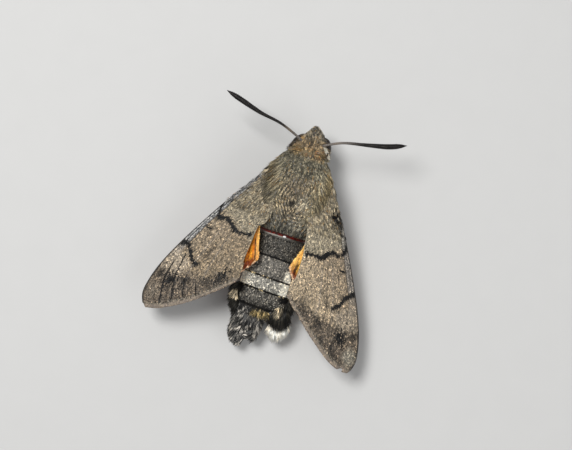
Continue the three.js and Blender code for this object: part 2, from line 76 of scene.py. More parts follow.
class Wire:
    def __init__(self, tree, socket=None):
        self.tree = tree
        self.socket = socket

    def plug(self, node, values):  # links wires to a node's inputs and sets the other values
        for name, value in values.items():
            if isinstance(value, Wire):
                self.tree.links.new(value.socket, node.inputs[name])
            else:
                node.inputs[name].default_value = value

    def node(self, kind, values=None, out=0, **settings):
        made = self.tree.nodes.new("ShaderNode" + kind)
        for name, value in settings.items():
            setattr(made, name, value)
        self.plug(made, values or {})
        return Wire(self.tree, made.outputs[out])

    def math(self, operation, *values):
        return self.node("Math", dict(enumerate(values)), operation=operation)

    def __add__(self, other):
        return self.math("ADD", self, other)

    def __sub__(self, other):
        return self.math("SUBTRACT", self, other)

    def __rsub__(self, other):
        return self.math("SUBTRACT", other, self)

    def __mul__(self, other):
        return self.math("MULTIPLY", self, other)

    def __truediv__(self, other):
        return self.math("DIVIDE", self, other)

    def __pow__(self, other):
        return self.math("POWER", self, other)

    __radd__ = __add__
    __rmul__ = __mul__

    def away(self, middle):  # distance from a value
        return self.math("ABSOLUTE", self - middle)

    def above(self, low, high, first=0.0, last=1.0):  # first below low, last above high, smooth between
        values = {0: self, 1: low, 2: high, 3: first, 4: last}
        return self.node("MapRange", values, interpolation_type="SMOOTHSTEP")

    def below(self, low, high):
        return self.above(low, high, 1.0, 0.0)

    def parts(self):  # x, y and z of a vector
        made = self.tree.nodes.new("ShaderNodeSeparateXYZ")
        self.plug(made, {0: self})
        return [Wire(self.tree, socket) for socket in made.outputs]

    def mix(self, factor, first, second, blend="MIX"):
        values = {0: factor, 6: full(first), 7: full(second)}
        return self.node("Mix", values, 2, data_type="RGBA", blend_type=blend, clamp_factor=True)

    def scaled(self, factor):  # a colour times a number
        grey = self.node("CombineXYZ", {0: factor, 1: factor, 2: factor})
        return self.node("VectorMath", {0: self, 1: grey}, operation="MULTIPLY")

    def inSizes(self, place, size, stretch=(1, 1, 1)):  # a place measured in grains of a size
        scale = tuple(s / size for s in stretch)
        return self.node("VectorMath", {0: place, 1: scale}, operation="MULTIPLY")

    def grain(self, place, size, detail=2.0, stretch=(1, 1, 1)):  # noise of about 0 to 1
        values = {"Vector": self.inSizes(place, size, stretch), "Scale": 1.0, "Detail": detail}
        return self.node("TexNoise", values)

    def cells(self, place, size, feature="F1"):
        values = {"Vector": self.inSizes(place, size), "Scale": 1.0}
        return self.node("TexVoronoi", values, feature=feature)


def full(colour):
    return colour if isinstance(colour, Wire) else (*colour[:3], 1.0)


def dimmed(colour, share):
    return tuple(c * share for c in colour)


def finish(name, paint):
    # A material: paint gets a wire and the place in millimetres, and gives what goes on the shader
    material = bpy.data.materials.new(name)
    material.use_nodes = True
    tree = material.node_tree
    tree.nodes.clear()
    wire = Wire(tree)
    shader = tree.nodes.new("ShaderNodeBsdfPrincipled")
    output = tree.nodes.new("ShaderNodeOutputMaterial")
    tree.links.new(shader.outputs[0], output.inputs["Surface"])
    place = wire.node("TexCoord", out=3)
    place = wire.node("Mapping", {"Vector": place, "Scale": (1 / mm,) * 3, "Location": tuple(-waist)})
    values = paint(wire, place)
    bump = values.pop("bump", None)
    if bump:
        height, distance, strength = bump
        relief = {"Height": height, "Distance": distance * mm, "Strength": strength}
        values["Normal"] = wire.node("Bump", relief)
    wire.plug(shader, values)
    return material


# Meshes

def deselect():
    if bpy.context.object and bpy.context.object.mode == "EDIT":
        bpy.ops.object.mode_set(mode="OBJECT")
    bpy.ops.object.select_all(action="DESELECT")


def useOnly(piece):
    deselect()
    piece.select_set(True)
    bpy.context.view_layer.objects.active = piece


def applyModifier(piece, kind, **settings):
    useOnly(piece)
    modifier = piece.modifiers.new(kind.title(), kind)
    for name, value in settings.items():
        setattr(modifier, name, value)
    bpy.ops.object.modifier_apply(modifier=modifier.name)


def handOver(piece, name, material, slot, *nodes):
    # Gives a finished piece its name, material, slot and the solids that it stands for
    useOnly(piece)
    bpy.ops.object.transform_apply(location=True, rotation=True, scale=True)
    bpy.ops.object.shade_smooth()
    piece.name = name
    piece.data.materials.clear()
    piece.data.materials.append(material)
    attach(piece, "root")
    if nodes:
        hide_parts(*nodes)
    return piece


def joined(pieces):
    deselect()
    for piece in pieces:
        piece.select_set(True)
    bpy.context.view_layer.objects.active = pieces[0]
    if len(pieces) > 1:
        bpy.ops.object.join()
    return bpy.context.object


def unit(vectors):
    return vectors / np.maximum(np.linalg.norm(vectors, axis=-1, keepdims=True), 1e-12)


def stacked(*columns):  # columns side by side, with a single number repeated
    return np.stack(np.broadcast_arrays(*columns), -1).astype(float)


def turned(points, angle):  # about the vertical
    x, y, z = np.moveaxis(points, -1, 0)
    c, s = math.cos(angle), math.sin(angle)
    return stacked(x * c - y * s, x * s + y * c, z)


def vertexRows(piece, what="co"):
    rows = np.zeros(len(piece.data.vertices) * 3, np.float32)
    piece.data.vertices.foreach_get(what, rows)
    return rows.reshape(-1, 3).astype(float)


def moveTo(piece, points):  # moves a piece's vertices to points in millimetres
    piece.data.vertices.foreach_set("co", world(points).astype(np.float32).ravel())
    piece.data.update()


def meshFrom(points, faces, name):
    # points in millimetres, faces as a list of equal rows
    mesh = bpy.data.meshes.new(name)
    sides = faces.shape[1]
    mesh.vertices.add(len(points))
    mesh.vertices.foreach_set("co", world(points).astype(np.float32).ravel())
    mesh.loops.add(faces.size)
    mesh.loops.foreach_set("vertex_index", faces.astype(np.int32).ravel())
    mesh.polygons.add(len(faces))
    mesh.polygons.foreach_set("loop_start", np.arange(0, faces.size, sides, dtype=np.int32))
    mesh.polygons.foreach_set("loop_total", np.full(len(faces), sides, np.int32))
    mesh.update(calc_edges=True)
    piece = bpy.data.objects.new(name, mesh)
    bpy.context.scene.collection.objects.link(piece)
    return piece


# The coat: each tuft is a closed, flat, tapered lock of ten triangles, or a scale of six

tuftShape = {"rootWidth": 0.75, "widest": 0.55, "scaleWidest": 0.62, "patch": 0.003}


def tufts(name, roots, out, lie, length, width, lift, curl=0.0, sway=0.0, shade=None, tint=None,
          place=None, thin=0.35, sink=0.06, scale=False):
    # roots, out and lie are rows in millimetres, and the rest are numbers or one value a row
    # roots, out and lie are rows in millimetres, and the rest are numbers or one value a row
    count = len(roots)
    out = unit(out)
    lie = unit(lie - out * (lie * out).sum(1, keepdims=True))
    across = np.cross(lie, out)
    sizes = (length, width, lift, curl, sway)
    length, width, lift, curl, sway = [np.broadcast_to(v, count)[:, None] * 1.0 for v in sizes]
    start = roots - out * sink

    def centre(t):
        rise = lift * t - curl * t * t
        return start + (lie + across * sway * t) * length * t + out * length * rise

    def ring(t, wide, thick):
        going = unit(centre(t + 0.05) - centre(t - 0.05))
        up = unit(np.cross(across, going))
        up = up * np.sign((up * out).sum(1, keepdims=True))
        half = width * wide / 2
        c = centre(t)
        down = c - up * half * thick
        return [down - across * half, down + across * half, c + up * half * thick]

    if scale:
        widest = tuftShape["scaleWidest"]
        rows = [start] + ring(widest, 1.0, thin) + [centre(1.0)]
        face = [(0, 2, 1), (0, 3, 2), (0, 1, 3), (1, 2, 4), (2, 3, 4), (3, 1, 4)]
        along = [0.0] + [widest] * 3 + [1.0]
        side = [0.0, -0.5, 0.5, 0.0, 0.0]
    else:
        widest = tuftShape["widest"]
        rows = ring(0.0, tuftShape["rootWidth"], thin) + ring(widest, 1.0, thin) + [centre(1.0)]
        face = [(0, 2, 1), (0, 1, 4), (0, 4, 3), (1, 2, 5), (1, 5, 4), (2, 0, 3), (2, 3, 5), (3, 4, 6),
                (4, 5, 6), (5, 3, 6)]
        along = [0.0] * 3 + [widest] * 3 + [1.0]
        side = [-0.5, 0.5, 0.0, -0.5, 0.5, 0.0, 0.0]
    corners = len(rows)
    points = np.stack(rows, 1).reshape(-1, 3)
    faces = (np.arange(count)[:, None, None] * corners + np.array(face)[None]).reshape(-1, 3)
    piece = meshFrom(points, faces, name)
    mesh = piece.data
    tint = np.full(count, 0.5) if tint is None else tint
    labels = {"shade": np.repeat(shade, corners), "tint": np.repeat(tint, corners),
              "along": np.tile(along, count)}
    for label, values in labels.items():
        mesh.attributes.new(label, "FLOAT", "POINT").data.foreach_set("value", values.astype(np.float32))
    spot = place[:, None, :] + tuftShape["patch"] * stacked(side, np.array(along) - 0.5)[None]
    spot = spot.reshape(-1, 2)[faces.ravel()]
    mesh.uv_layers.new(name="OFBake").data.foreach_set("uv", spot.astype(np.float32).ravel())
    return piece


def clumps(rng, spots, out, lie, times, aside, turn, *more):
    # Several tufts from each root, a little aside of each other, with one shade and tint a clump
    count = len(spots)
    rows = (spots, unit(out), unit(lie), rng.random(count), rng.random(count), *more)
    spots, out, lie, shade, tint, *more = [np.repeat(row, times, 0) for row in rows]
    n = len(spots)
    across = np.cross(lie, out)
    spots = spots + across * rng.normal(0, aside, (n, 1)) + lie * rng.normal(0, 2.5 * aside, (n, 1))
    lie = lie + rng.normal(0, turn, (n, 3))
    return spots, out, lie, np.clip(shade + rng.normal(0, 0.07, n), 0, 1), tint, *more


def flecks(rng, across, along, wide, long):
    # One shade for all that is rooted in the same small cell, with some of its own
    row = np.floor(across / wide + rng.normal(0, 0.2, len(across)))
    cell = np.floor(along / long + row * 0.37 + rng.normal(0, 0.15, len(across)))
    shared = rng.random(8192)[(row * 131 + cell * 17).astype(int) % 8192]
    return shared * 0.8 + rng.random(len(across)) * 0.2


def triangles(mesh, corners):
    # Two triangles a face, in an order that depends on the places of the corners alone: edit mode leaves
    # the faces in another order each time
    index = np.zeros(len(mesh.loops), np.int32)
    first, sides = np.zeros((2, len(mesh.polygons)), np.int32)
    mesh.loops.foreach_get("vertex_index", index)
    mesh.polygons.foreach_get("loop_start", first)
    mesh.polygons.foreach_get("loop_total", sides)
    corner = np.arange(4)
    face = index[first[:, None] + np.minimum(corner, sides[:, None] - 1)]
    rank = corners[face] @ (1.0, 31.4, 977.0)
    key = (rank * (corner < sides[:, None])).sum(1) / sides
    face = np.take_along_axis(face, (rank.argmin(1)[:, None] + corner) % 4, 1)[np.argsort(key)]
    return face[:, [[0, 1, 2], [0, 2, 3]]].reshape(-1, 3)


def spread(piece, count, rng, weigh=None):
    # Random points over a piece's own faces, with their normals, in millimetres from the waist
    corners = vertexRows(piece) / mm - waist
    smooth = vertexRows(piece, "normal")
    index = triangles(piece.data, corners)
    tri = corners[index]
    normal = np.cross(tri[:, 1] - tri[:, 0], tri[:, 2] - tri[:, 0])
    area = np.linalg.norm(normal, axis=1)
    if weigh is not None:
        area = area * weigh(tri.mean(1), unit(normal))
    total = np.cumsum(area)
    pick = np.searchsorted(total, (np.arange(count) + rng.random(count)) / count * total[-1])
    pick = np.minimum(pick, len(tri) - 1)
    a, b = rng.random((2, count))
    flip = a + b > 1
    a[flip], b[flip] = 1 - a[flip], 1 - b[flip]
    t = tri[pick]
    spots = t[:, 0] + a[:, None] * (t[:, 1] - t[:, 0]) + b[:, None] * (t[:, 2] - t[:, 0])
    n = smooth[index[pick]]
    return spots, unit(n[:, 0] * (1 - a - b)[:, None] + n[:, 1] * a[:, None] + n[:, 2] * b[:, None])


# Body skin: a ring drawn out from the face to the tail

bodySkin = {
    "sides": 32,
    # y, half width, top, bottom and how far the middle lies to the left
    "stations": [
        (-12.38, 0.26, 5.1, 4.5, -0.02), (-12.12, 0.54, 5.4, 4.2, -0.12), (-11.6, 0.98, 5.85, 3.85, -0.22),
        (-11.1, 1.38, 6.2, 3.6, -0.22), (-10.5, 1.78, 6.5, 3.5, -0.12), (-9.9, 1.98, 6.68, 3.6, -0.04),
        (-9.3, 2.05, 6.75, 3.7, 0), (-8.75, 2.48, 6.9, 3.5, 0.06), (-8.2, 2.94, 7.3, 3.2, 0.06),
        (-6.9, 3.48, 8.05, 2.65, 0.03), (-5.2, 3.68, 8.4, 2.45, 0), (-3.6, 3.66, 8.3, 2.4, 0),
        (-2.0, 3.35, 7.85, 2.5, 0), (-1.0, 3.0, 7.35, 2.7, 0), (-0.4, 2.8, 6.95, 2.7, 0),
        (-0.2, 2.6, 6.4, 2.4, 0), (-0.1, 2.5, 6.1, 2.2, 0), (0.08, 2.48, 6.0, 2.0, 0),
        (0.14, 2.62, 6.13, 1.85, 0), (0.28, 2.7, 6.15, 1.75, 0), (0.4, 2.66, 6.02, 1.72, 0),
        (1.4, 2.85, 6.0, 1.65, 0), (2.47, 2.97, 6.04, 1.6, 0), (2.55, 2.88, 5.92, 1.66, 0),
        (3.7, 2.93, 5.84, 1.5, 0), (4.74, 3.02, 5.7, 1.38, 0), (4.82, 2.92, 5.57, 1.45, 0),
        (5.6, 2.96, 5.4, 1.28, 0), (6.29, 3.0, 5.22, 1.2, 0), (6.37, 2.9, 5.08, 1.27, 0),
        (7.4, 2.85, 4.74, 1.13, 0.05), (8.22, 2.72, 4.32, 1.1, 0.1), (8.34, 2.5, 4.08, 1.2, 0.2),
        (8.9, 2.3, 3.6, 1.2, 0.4), (9.6, 1.9, 3.0, 1.25, 0.8), (10.4, 1.2, 2.5, 1.4, 1.0),
        (10.8, 0.4, 2.2, 1.7, 1.0),
    ],
}

colours = {
    # thoraxLeft and thoraxRight differ as painted light: the same hair, toned for how each side is lit
    "thoraxLeft": (0.25, 0.217, 0.147), "thoraxRight": (0.275, 0.235, 0.152),
    "thoraxMid": (0.19, 0.158, 0.112), "thoraxFront": (0.187, 0.17, 0.122),
    "thoraxRear": (0.162, 0.15, 0.118), "crest": (0.4, 0.36, 0.275), "shoulder": (0.29, 0.23, 0.125),
    "shoulderLeft": (0.163, 0.137, 0.086), "head": (0.265, 0.2, 0.122), "face": (0.21, 0.183, 0.136),
    "collar": (0.2, 0.145, 0.072), "rust": (0.28, 0.118, 0.036), "white": (0.72, 0.69, 0.6),
    "belly": (0.45, 0.43, 0.39), "slit": (0.15, 0.012, 0.007), "edge": (0.42, 0.4, 0.35),
    "bandOne": (0.083, 0.076, 0.062), "bandTwo": (0.222, 0.205, 0.178), "bandThree": (0.46, 0.437, 0.382),
    "bandFour": (0.162, 0.148, 0.126), "cream": (1.0, 0.95, 0.81), "line": (0.006, 0.005, 0.004),
    "ochre": (0.36, 0.28, 0.136), "tan": (0.66, 0.57, 0.41), "tail": (0.04, 0.038, 0.035),
    "under": (0.11, 0.103, 0.09), "dark": (0.025, 0.022, 0.02), "glint": (0.9, 0.88, 0.85),
}


def bodyColour(wire, place):
    # The markings of skin and coat alike, from the place on the body
    c = colours
    x, y, z = place.parts()
    wide = x.math("ABSOLUTE", x)
    soft = wire.grain(place, 1.3, 3.0) - 0.5
    rough = wire.grain(place, 0.28, 2.0, stretch=(1, 0.6, 1)) - 0.5
    yy = y + soft * 0.3
    # painted light: the thorax's two sides get different tones for how each side is lit
    top = wire.mix((x * -1.0 + soft * 2.0).above(-1.0, 2.0), c["thoraxLeft"], c["thoraxRight"])
    top = wire.mix((wide + soft * 2.0).below(0.8, 2.2) * 0.85, top, c["thoraxMid"])
    top = wire.mix(yy.below(-7.4, -5.6), top, c["thoraxFront"])
    top = wire.mix(yy.above(-2.9, -1.4), top, c["thoraxRear"])
    crest = (((x + 1.05) ** 2.0 + (y + 3.85) ** 2.0 * 0.8) ** 0.5 + rough).below(0.2, 1.15)
    top = wire.mix(crest * 0.75, top, c["crest"])
    hollow = (((x - 0.1) ** 2.0 * 2.0 + (y + 3.6) ** 2.0) ** 0.5 + rough * 0.5).below(0.15, 0.5)
    top = wire.mix(hollow * 0.85, top, c["dark"])
    shoulder = wire.mix(x.above(-0.3, 0.3), c["shoulder"], c["shoulderLeft"])
    top = wire.mix((wide + soft).above(2.3, 3.2) * yy.below(-5.5, -4.0) * 0.85, top, shoulder)
    front = wire.mix(yy.below(-11.6, -10.6), c["head"], c["face"])
    groove = x.away(-0.02).below(0.05, 0.25) * yy.below(-10.0, -9.6) * rough.above(-0.1, 0.1)
    front = wire.mix(groove * 0.7, front, c["dark"])
    top = wire.mix(yy.above(-9.7, -9.2), front, top)
    collar = (y + rough * 1.0).away(-9.38).below(0.25, 0.8) * (wide + rough).below(1.6, 2.2)
    warm = wire.mix(rough.above(0.03, 0.13) * 0.7, c["collar"], c["rust"])
    top = wire.mix(collar * 0.8, top, warm)
    low = (z + soft * 0.6).below(3.4, 4.7)
    top = wire.mix(low * y.below(-0.9, -0.3), top, c["belly"])
    cheek = wide.above(1.2, 1.6) * z.below(5.0, 5.6) * yy.below(-9.1, -8.8)
    top = wire.mix(cheek, top, c["white"])
    brow = (x * -1.0 - y * 0.8 - 9.95 + rough * 0.3).away(0.0).below(0.16, 0.26)
    brow = brow * y.away(-10.0).below(0.45, 0.6)
    top = wire.mix(brow * x.below(-1.4, -1.2) * z.above(4.6, 5.0), top, c["cream"])
    gap = (((x + 2.02) * 2.0) ** 2.0 + ((y + 9.85) * 0.8) ** 2.0) ** 0.5
    top = wire.mix(gap.below(0.16, 0.22), top, c["line"])
    rim = (x - y * 0.571 - 7.4 + rough * 0.5).above(0.0, 0.12) * y.below(-9.5, -9.3) * z.above(4.5, 4.9)
    top = wire.mix(rim * 0.8, top, c["dark"])
    # the abdomen's bands, each with a dark rear line, and pale patches at its sides
    y = y + x * 0.035
    fleck = wire.grain(place, 0.12, 1.0).above(0.52, 0.62)
    one = wire.mix((wide + soft).above(1.9, 2.6) * 0.5, c["bandOne"], c["dark"])
    one = wire.mix(fleck * 0.85, one.scaled(0.6), c["bandTwo"])
    # the cream at the right of the second and third bands is partly pale side spots, partly painted light on
    # that side
    rightSide = (x * -1.0 + soft * 0.6 + rough * 0.5).above(1.35, 1.85)
    two = wire.mix(rightSide * (y + soft).above(3.2, 3.9), c["bandTwo"], c["cream"])
    three = wire.mix((x + rough * 1.5).above(1.0, 2.0) * 0.8, c["bandThree"], c["white"])
    three = wire.mix((x + soft * 2.0).away(1.3).below(0.2, 0.7) * 0.25, three, c["bandTwo"])
    # cream at the right: pale side spots and painted light
    three = wire.mix((x * -1.0 + rough).above(1.15, 1.7), three, c["cream"])
    # painted light: cream at the left end of the third band, lightened against the left forewing's shadow
    three = wire.mix((x + rough).above(1.9, 2.3), three, c["cream"])
    four = wire.mix(fleck * 0.7, dimmed(c["bandFour"], 0.62), c["bandThree"])
    four = wire.mix((x * -1.0 + rough * 1.5).above(1.5, 2.2) * y.below(6.9, 7.4), four, c["line"])
    four = wire.mix((x + rough).above(1.9, 2.6) * y.below(7.1, 7.6), four, c["line"])
    four = wire.mix((x * -1.0 + soft).above(1.7, 2.2) * y.above(7.4, 7.8) * 0.4, four, c["tan"])
    four = wire.mix((y + rough * 0.6).above(7.2, 8.2) * 0.5, four, c["dark"])
    band = wire.mix(y.above(2.47, 2.55), one, two)
    band = wire.mix(y.above(4.76, 4.84), band, three)
    band = wire.mix(y.above(6.3, 6.38), band, four)
    band = wire.mix((y + rough * 0.25).above(7.98, 8.2), band, c["line"])
    band = wire.mix(y.above(8.34, 8.5), band, c["tail"])
    # painted shadow: a black line on the abdomen's right, where the right forewing's edge shades it; reach is
    # how far the top shows on the right
    reach = wire.math("MINIMUM", y * 0.36 + 0.74, 2.32)  # how far the top shows on the right
    wingGapShadow = (x * -1.0 - reach + rough * 0.25).above(0.0, 0.1) * y.above(2.6, 2.9) * y.below(6.3, 6.5)
    band = wire.mix(wingGapShadow * z.above(4.1, 4.5), band, c["line"])
    lowBand = (z + soft * 0.5).below(2.4, 3.6) * yy.below(8.6, 9.0)
    band = wire.mix(lowBand, band, c["under"])
    dash = wire.grain(place, 0.5, 1.0)
    for at, half, least in ((2.5, 0.14, 0.0), (4.8, 0.13, 0.42), (6.34, 0.14, 0.38)):
        strength = dash.above(least, least + 0.08) if least else 1.0
        band = wire.mix((y + rough * 0.08).away(at).below(half * 0.6, half) * strength, band, c["line"])
        if least:
            ochre = (y + rough * 0.1).away(at).below(0.05, 0.12) * dash.below(least, least + 0.06)
            band = wire.mix(ochre * 0.85, band, c["ochre"])
    y = place.parts()[1]
    # the pale rim at the front of the abdomen, on its left part: partly pale scales, partly a painted
    # highlight
    edge = wire.mix((x * -1.0 + rough).above(-0.5, 1.6), c["edge"], c["bandOne"])
    band = wire.mix(y.below(0.16, 0.2), band, edge)
    slit = wire.mix(rough.above(-0.02, 0.12) * 0.85, c["slit"], c["line"])
    band = wire.mix(y.below(0.03, 0.06), band, slit)
    glint = (((x + 0.24) * 0.6) ** 2.0 + (y - 0.02) ** 2.0) ** 0.5
    band = wire.mix((glint + rough * 0.06).below(0.09, 0.13), band, c["glint"])
    return wire.mix(y.above(-0.3, -0.22), top, band)


def skinPaint(wire, place):
    x, y, z = place.parts()
    slit = y.above(-0.2, -0.14) * y.below(0.03, 0.06)
    fine = wire.grain(place, 0.1, 3.0, stretch=(1, 0.4, 1))
    tone = bodyColour(wire, place)
    tone = wire.mix(slit, tone.scaled(0.3 + fine * 0.5), tone.scaled(0.6 + fine * 0.8))
    return {
        "Base Color": tone,
        "Roughness": 0.72 - slit * 0.5,
        "Specular IOR Level": 0.3,
        "bump": (fine * (1 - slit * 0.8), 0.05, 0.7),
    }


def coatPaint(colour, contrast=6.0, rough=0.75, specks=0.0, root=0.62, grit=25.0):
    # A coat's finish: the markings, dark and cool to pale and warm by the tuft, darker at its root, and
    # gritty. The mean brightness is kept for every contrast and grit.
    tip = 1.1
    even = math.log(contrast) / (contrast ** 0.5 - contrast ** -0.5) * tip
    even = even / math.exp((0.11 * math.log(grit)) ** 2 / 2)

    def paint(wire, place):
        labels = ("shade", "tint", "along")
        shade, tint, along = [wire.node("Attribute", out=2, attribute_name=label) for label in labels]
        fine = wire.grain(place, 0.085, 1.0, stretch=(1, 0.55, 1))
        light = wire.math("POWER", contrast, shade - 0.5) * (root + along * (tip - root)) * even
        light = light * wire.math("POWER", grit, fine - 0.5)
        tone = colour(wire, place)
        pale = tone.parts()[1].above(0.68, 0.9)  # the whitest parts are more even
        tone = tone.scaled(light + (0.95 - light) * pale * 0.65)
        cast = wire.mix(shade, (0.94, 1.0, 1.07), (1.05, 1.0, 0.92))
        tone = wire.mix(1.0, tone, cast, "MULTIPLY")
        if specks:
            tone = wire.mix(tint.below(specks, specks + 0.01) * 0.75, tone, (0.42, 0.24, 0.08))
            tone = wire.mix(tint.above(0.99 - specks, 1.0 - specks) * 0.5, tone, (0.36, 0.36, 0.37))
        return {
            "Base Color": tone,
            "Roughness": rough - fine * 0.15,
            "Specular IOR Level": 0.2,
            "bump": (wire.grain(place, 0.03, 1.0, stretch=(1, 0.3, 1)), 0.01, 0.4),
        }
    return paint


def makeBodySkin():
    y, half, top, bottom, aside = bodySkin["stations"][0]
    middle = world((aside, y, (top + bottom) / 2))
    deselect()
    bpy.ops.mesh.primitive_circle_add(vertices=bodySkin["sides"], radius=mm, fill_type="NGON",
                                      location=middle, rotation=(math.pi / 2, 0, 0))
    bpy.ops.object.mode_set(mode="EDIT")
    bpy.ops.mesh.select_all(action="SELECT")
    bpy.ops.transform.resize(value=(half, 1, (top - bottom) / 2), center_override=middle)
    for before, station in zip(bodySkin["stations"], bodySkin["stations"][1:]):
        y, half, top, bottom, aside = station
        was = middle
        middle = world((aside, y, (top + bottom) / 2))
        bpy.ops.mesh.extrude_region_move(TRANSFORM_OT_translate={"value": tuple(middle - was)})
        ratio = (half / before[1], 1, (top - bottom) / (before[2] - before[3]))
        bpy.ops.transform.resize(value=ratio, center_override=middle)
    bpy.ops.mesh.select_all(action="SELECT")
    bpy.ops.mesh.normals_make_consistent(inside=False)
    bpy.ops.object.mode_set(mode="OBJECT")
    skin = bpy.context.object
    applyModifier(skin, "SUBSURF", levels=1, render_levels=1)
    return handOver(skin, "bodySkin", finish("moth skin", skinPaint), "fur", "head", "thorax", "abdomen")


skin = makeBodySkin()
print("body skin", len(skin.data.polygons))


# Body coat

bodyCoat = {
    # seed, clumps, tufts in each, length and width of a tuft, how far it lifts, its contrast, and where
    # it grows: limits of the place, of how far the skin faces up, and outside the eyes
    "headFur": {
        "seed": 11, "clumps": 3200, "times": 2, "length": (0.24, 0.42), "width": (0.06, 0.085),
        "lift": 0.26, "contrast": 14, "scale": True, "where": {"y": (-20, -8.9), "eye": (-1, 0.5)}},
    "browFur": {
        "seed": 12, "clumps": 620, "times": 3, "length": (0.55, 0.85), "width": (0.05, 0.075),
        "lift": 0.3, "contrast": 12, "lie": (1, 0.1, -0.3),
        "where": {"y": (-11.3, -9.3), "z": (5.7, 20), "wide": (0.7, 20)}},
    "thoraxFur": {
        "seed": 13, "clumps": 14500, "times": 2, "length": (0.32, 0.5), "width": (0.055, 0.08),
        "lift": 0.18, "contrast": 18, "scale": True, "where": {"y": (-9.1, -0.3), "up": (-0.25, 2)}},
    "thoraxUnderFur": {
        "seed": 14, "clumps": 1500, "times": 3, "length": (0.7, 1.1), "width": (0.1, 0.15),
        "lift": 0.24, "contrast": 3, "where": {"y": (-9.1, -0.3), "up": (-2, -0.1)}},
    "shoulderFurLeft": {
        "seed": 16, "clumps": 2000, "times": 2, "length": (1.0, 1.8), "width": (0.06, 0.09),
        "lift": 0.14, "contrast": 16, "lie": (0.5, 1, -0.14),
        "where": {"y": (-8.2, -3.0), "z": (4.4, 20), "left": (2, 20)}},
    "shoulderFurRight": {
        "seed": 14, "clumps": 1900, "times": 2, "length": (0.8, 1.5), "width": (0.06, 0.09),
        "lift": 0.14, "contrast": 16, "lie": (0.5, 1, -0.14),
        "where": {"y": (-8.2, -3.0), "z": (4.4, 20), "right": (2, 20)}},
    "abdomenScales": {
        "seed": 17, "clumps": 9000, "times": 2, "length": (0.22, 0.35), "width": (0.065, 0.095),
        "lift": 0.18, "contrast": 45, "scale": True, "grit": 60, "cell": (0.13, 0.14),
        "where": {"y": (0.2, 8.25), "up": (-0.2, 2)}},
    "abdomenUnderScales": {
        "seed": 18, "clumps": 2000, "times": 3, "length": (0.4, 0.6), "width": (0.12, 0.17),
        "lift": 0.15, "contrast": 4, "scale": True, "where": {"y": (0.3, 9.5), "up": (-2, -0.05)}},
}


def between(rng, limits, count):
    return limits[0] + (limits[1] - limits[0]) * rng.random(count)


def unwrapped(spots, share=(0.02, 0.98)):
    # Round the body and along it, as a flat map
    turn = np.arctan2(spots[:, 0], spots[:, 2] - 4.0) / (2 * math.pi) + 0.5
    along = (spots[:, 1] + 12.5) / 24.0
    return stacked(turn, along) * (share[1] - share[0]) + share[0]


def hairFlow(spots):
    # The lie of the hair: to the rear, and from both sides to the middle behind the thorax's crest
    x, y, z = spots.T
    inward = np.interp(y, [-8.5, -6.0, -4.4, -3.2, -2.2, -1.2], [-0.12, 0.0, 0.3, 0.95, 0.8, 0.05])
    aside = -np.clip(x - 0.1, -1.7, 1.7) * inward * np.where(z > 5, 1, 0)
    flow = stacked(aside, 1.0, np.where(z < 4.5, -0.1, -0.05))
    face = y < -9.4
    flow[face] = stacked(-0.3 * x[face], -1.0, -0.3)
    return flow


def combed(spots):
    # Paler and darker lines round the crest of the thorax, behind it and to its left
    x, y, z = spots.T
    away = np.hypot(x + 0.87, y + 4.21)
    here = np.clip((away - 0.7) / 0.4, 0, 1) * np.clip((3.3 - away) / 0.8, 0, 1) * (z > 6)
    here = here * np.clip((1.1 * (x + 0.87) + 0.7 * (y + 4.21)) / away + 0.1, 0, 1)
    return 0.36 * here * np.sin(2 * math.pi * away / 0.34 + 0.8 * np.sin(2.1 * x + 1.3 * y))


def grows(where):
    # Tells for each place and normal whether a coat grows there
    def keep(p, n):
        x, y, z = p.T
        known = {"y": y, "z": z, "wide": abs(x), "left": x, "right": -x, "up": n[:, 2], "eye": nearEye(p)}
        return np.all([(known[name] > low) & (known[name] < high) for name, (low, high) in where.items()], 0)
    return keep


def growCoat(name, sizes):
    rng = np.random.default_rng(sizes["seed"])
    slot = "abdomen" if "abdomen" in name else "fur"
    spots, out = spread(skin, sizes["clumps"], rng, grows(sizes["where"]))
    lie = hairFlow(spots)
    if "lie" in sizes:
        aside, back, up = sizes["lie"]
        lie = stacked(np.sign(spots[:, 0]) * aside, back, up)
    lie = lie + rng.normal(0, 0.06, spots.shape)
    spots, out, lie, shade, tint = clumps(rng, spots, out, lie, sizes["times"], 0.025, 0.05)
    count = len(spots)
    shade = flecks(rng, spots[:, 0], spots[:, 1], *sizes.get("cell", (0.12, 0.2)))
    shade = np.clip(shade * 0.96 + 0.02 + combed(spots), 0, 1)
    length = between(rng, sizes["length"], count)
    y = spots[:, 1]
    fringe = (y < -0.1) & (y > -1.6)  # it ends in line before the waist
    length = np.where(fringe, np.minimum(length * 1.5, np.maximum(-0.08 - y, 0.2)), length)
    width = between(rng, sizes["width"], count)
    lift = sizes["lift"] + rng.normal(0, 0.06, count)
    piece = tufts(name, spots, out, lie, length, width, lift, curl=rng.normal(0.03, 0.05, count),
                  sway=rng.normal(0, 0.06, count), shade=shade, tint=tint, place=unwrapped(spots),
                  sink=0.03, scale=sizes.get("scale", False))
    specks = 0.03 if slot == "fur" else 0.0
    paint = coatPaint(bodyColour, sizes["contrast"], specks=specks, grit=sizes.get("grit", 25))
    return handOver(piece, name, finish(name + " finish", paint), slot)


eyes = {
    "left": {"at": (1.26, -10.16, 4.9), "size": (0.8, 1.3, 1.02), "turn": -25},
    "right": {"at": (-1.44, -10.45, 4.95), "size": (0.82, 1.18, 1.02), "turn": 12},
}
headTurn = math.radians(4)
neck = np.array([0, -8.9, 0])


def withHead(points):  # turns points with the head, about the neck
    return turned(np.asarray(points, float) - neck, headTurn) + neck


def nearEye(points):
    near = np.zeros(len(points), bool)
    for eye in eyes.values():
        local = turned(points - eye["at"], -math.radians(eye["turn"]))
        near |= ((local / (np.array(eye["size"]) * 0.86)) ** 2).sum(1) < 1
    return near


